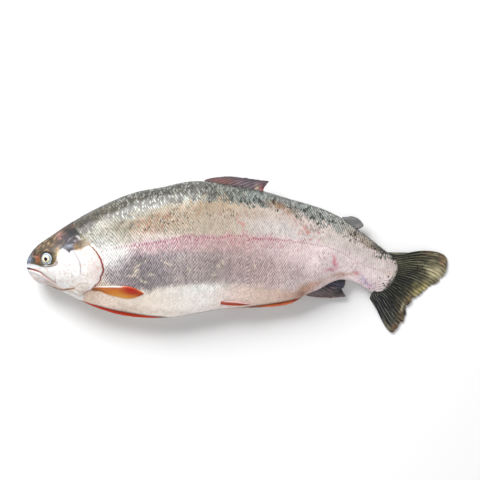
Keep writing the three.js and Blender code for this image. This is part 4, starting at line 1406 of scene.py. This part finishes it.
soft_rays = fin_finish("fin_rays", 11, ink(150, 134, 140), ink(60, 50, 58), 0.2, 0.5)
adipose_finish = fin_finish("adipose_fin", 7, ink(140, 142, 142), ink(90, 90, 90), 0.06, 0.12)
dark_rays = fin_finish("anal_fin_rays", 8, ink(142, 124, 124), ink(44, 40, 46), 0.3, 0.5)
for name, finish_used, patches in (
    ("dorsal_fin", soft_rays, [(94, 82, 90), ((122, 74, 62), 0.9, (280, 97.5), (20, 4.2), -0.05),
                               ((92, 80, 82), 0.8, (276, 104), (20, 1.4), 0.05),
                               ((22, 22, 30), 0.97, (323, 101.8), (26, 2.1), -0.1),
                               ((204, 118, 116), 0.85, (306, 84.5), (32, 1.7), -0.23),
                               ((196, 172, 142), 0.6, (328, 88), (3, 6), 0.1),
                               ((186, 96, 88), 0.7, (334, 85), (2.2, 8), 0.1)]),
    # On the adipose fin, the dark daub at the root's front is painted shade and the pale daub at its rear is
    # a painted highlight.
    ("adipose_fin", adipose_finish, [(112, 111, 112), ((70, 70, 70), 0.7, (452, 41), (7, 4), 0.3),
                                     ((148, 146, 144), 0.8, (472, 34), (7, 3), 0.4),
                                     ((136, 134, 132), 0.6, (466, 45), (12, 2), -0.15)]),
    ("anal_fin_lower", dark_rays, [(114, 100, 100), ((128, 112, 120), 0.6, (412, -61), (12, 3), 0.1),
                                   ((42, 44, 50), 0.85, (446, -60), (9, 6), 0.5),
                                   ((40, 40, 44), 0.7, (430, -53), (20, 2.4), 0.35),
                                   ((186, 128, 104), 0.8, (428, -69), (22, 1.2), 0),
                                   ((84, 78, 52), 0.7, (406, -66.5), (8, 1.2), -0.1),
                                   ((160, 112, 84), 0.8, (398, -59), (8, 4), 0.5)]),
    # On the upper part of the anal fin, the pale pink daub is a painted highlight.
    ("anal_fin_upper", dark_rays, [(60, 60, 76), ((86, 94, 118), 0.7, (440, -49), (9, 2), -0.2),
                                   ((186, 160, 156), 0.6, (437, -54), (5, 1.1), -0.1)]),
):
    rings, rays = fin_rings(FINS[name])
    fin = loft(name, rings, colours={"ground": plain_ground(rings, *patches)}, maps={"rays": rays})
    dress(fin, finish_used, "trout")


# The paired fins lie folded back against the skin: the pectorals behind the gills and the pelvics at mid
# belly. They are orange rays in a thin membrane, and each is fixed by its root alone.
PAIRED_FINS = {
    "pectoral_fin": {
        "root": [[92, -51.5], [96, -58]],
        "top": [[92, -51.5], [106, -50.6], [120, -50.1], [134, -50.2], [146, -51], [156, -54], [168, -61]],
        "low": [[96, -58], [106, -58.5], [116, -62.8], [131, -66.8], [143, -69.4], [153, -68], [163.5, -64],
                [167.5, -62]],
        "proud": 2.2, "rays": 9,
    },
    "pelvic_fin": {
        "root": [[276, -72.5], [275, -77]],
        "top": [[276, -72.5], [287, -71.4], [304, -72.9], [319, -75.6]],
        "low": [[275, -77], [289, -78.4], [305, -78.6], [318, -77.2]],
        "proud": 1.8, "rays": 6,
    },
}
FIN_SUNK = -1.5


def paired_fin(form, side):
    """u runs from the leading edge across the rays and v along the fin. It stands off the skin by proud *
    sqrt(4v) up to 1, less towards the low edge, with a ridge on every ray, and its underside is sunk in the
    skin."""
    u, v = grid(120, 130)
    ends = [form["top"][-1], form["low"][-1]]
    spots = patch(form["root"], ends, form["top"], form["low"], u, v)
    x, y = spots[..., 0], spots[..., 1]
    fold = 0.22 * np.cos(2 * np.pi * form["rays"] * u) * rise(v, 0.05, 0.3)
    leading = 0.5 * np.exp(-(u / 0.09) ** 2)
    lift = form["proud"] * np.sqrt(np.clip(4 * v, 0, 1)) * lerp(1, 0.35, rise(u, 0.3, 1))
    edges = np.sqrt(np.clip(np.minimum(u, 1 - u) / 0.05, 0.03, 1)) * np.sqrt(np.clip((1 - v) / 0.08, 0.03, 1))
    outer = (lift + fold + leading) * edges
    rings = plate_rings(x, y, side, outer, FIN_SUNK)
    flat = np.stack(np.broadcast_arrays(u, v), axis=-1)
    return rings, np.concatenate([flat, flat[:, ::-1]], axis=1)


orange_rays = fin_finish("pectoral_rays", 9, ink(226, 150, 84), ink(170, 76, 26), 0.18, 0.15)
for side_name, side in SIDES:
    for name, patches in (
        ("pectoral_fin", [(220, 120, 40), ((244, 176, 74), 0.9, (136, -65), (19, 5), -0.22),
                          ((188, 14, 12), 0.97, (151, -56.5), (15, 4.2), -0.38),
                          ((244, 222, 214), 0.95, (124, -50.2), (26, 1.1), 0),
                          ((206, 112, 84), 0.7, (126, -53), (22, 1.1), 0),
                          ((128, 84, 52), 0.85, (99, -56.5), (10, 4.5), -0.2)]),
        ("pelvic_fin", [(184, 66, 24), ((200, 54, 16), 0.8, (292, -77), (16, 1.8), 0),
                        ((120, 70, 34), 0.8, (312, -78), (10, 1.8), 0.1)]),
    ):
        rings, rays = paired_fin(PAIRED_FINS[name], side)
        ground = plain_ground(rings, *patches)
        across, along = rays[..., 0], rays[..., 1]
        if name == "pectoral_fin":
            inner_red = 0.95 * patch_at(across, along, (0.3, 0.74), (0.3, 0.17))
            pale_front = 0.9 * (1 - rise(across, 0.07, 0.14)) * (1 - rise(along, 0.5, 0.62))
            pale_low = 0.85 * rise(across, 0.84, 1) * (1 - rise(along, 0.7, 0.95))
            ground = coated(ground, seen(186, 16, 14), inner_red)
            ground = coated(ground, seen(248, 228, 220), pale_front)
            ground = coated(ground, seen(232, 206, 176), pale_low)
        else:
            pale_front = 0.9 * (1 - rise(across, 0.14, 0.3)) * rise(along, 0.0, 0.2)
            ground = coated(ground, seen(246, 210, 204), pale_front)
        fin = loft(f"{name}_{side_name}", rings, colours={"ground": ground}, maps={"rays": rays})
        dress(fin, orange_rays, "trout")


# The studio: a white table, a broad soft light from the back's side that throws a short soft shadow towards
# the belly, a lamp overhead, and a camera straight above that sees the left flank square on.
TABLE_HALF = 3.0
TABLE_WHITE = 0.84
VIEW_WIDTH = 0.6825
VIEW_MIDDLE = (0.0036, 0.02105)
VIEW_HEIGHT = 0.03
CAMERA_HEIGHT = 4.0
SENSOR = 36
ROOM_GLOW = 0.25


def table():
    """A matt white sheet under the fish."""
    mesh = bpy.data.meshes.new("table")
    signs = ((-1, -1), (1, -1), (1, 1), (-1, 1))
    mesh.from_pydata([(a * TABLE_HALF, b * TABLE_HALF, 0) for a, b in signs], [], [(0, 1, 2, 3)])
    make, shader = finish("table_white")
    feed(shader, {
        "Base Color": (TABLE_WHITE, TABLE_WHITE, TABLE_WHITE, 1.0),
        "Roughness": 0.9,
        "Specular IOR Level": 0.1,
    })
    mesh.materials.append(make.material)
    return set_out("table", mesh)


table()


def lamp(name, power, size, place):
    """A square lamp at a place, turned towards the fish."""
    data = bpy.data.lights.new(name, "AREA")
    data.energy = power
    data.size = size
    piece = set_out(name, data)
    piece.location = place
    flat = math.hypot(place[0], place[1])
    piece.rotation_euler = (math.atan2(flat, place[2]), 0, math.atan2(place[0], -place[1]))


lamp("soft_light", 72, 1.3, (-0.9, 1.4, 1.25))
lamp("overhead_light", 11, 1.6, (0.3, -0.5, 2.4))
lamp("low_fill", 14, 1.2, (0.3, -1.9, 0.7))

world = bpy.data.worlds.new("studio")
world.use_nodes = True
world.node_tree.nodes["Background"].inputs["Color"].default_value = (1, 1, 1, 1)
world.node_tree.nodes["Background"].inputs["Strength"].default_value = ROOM_GLOW
bpy.context.scene.world = world
bpy.context.scene.view_settings.view_transform = "Standard"

camera = bpy.data.cameras.new("camera")
camera.sensor_width = SENSOR
camera.lens = SENSOR * (CAMERA_HEIGHT - VIEW_HEIGHT) / VIEW_WIDTH
camera.clip_start = 0.05
camera.clip_end = 20
viewer = set_out("camera", camera)
viewer.location = (*VIEW_MIDDLE, CAMERA_HEIGHT)
bpy.context.scene.camera = viewer
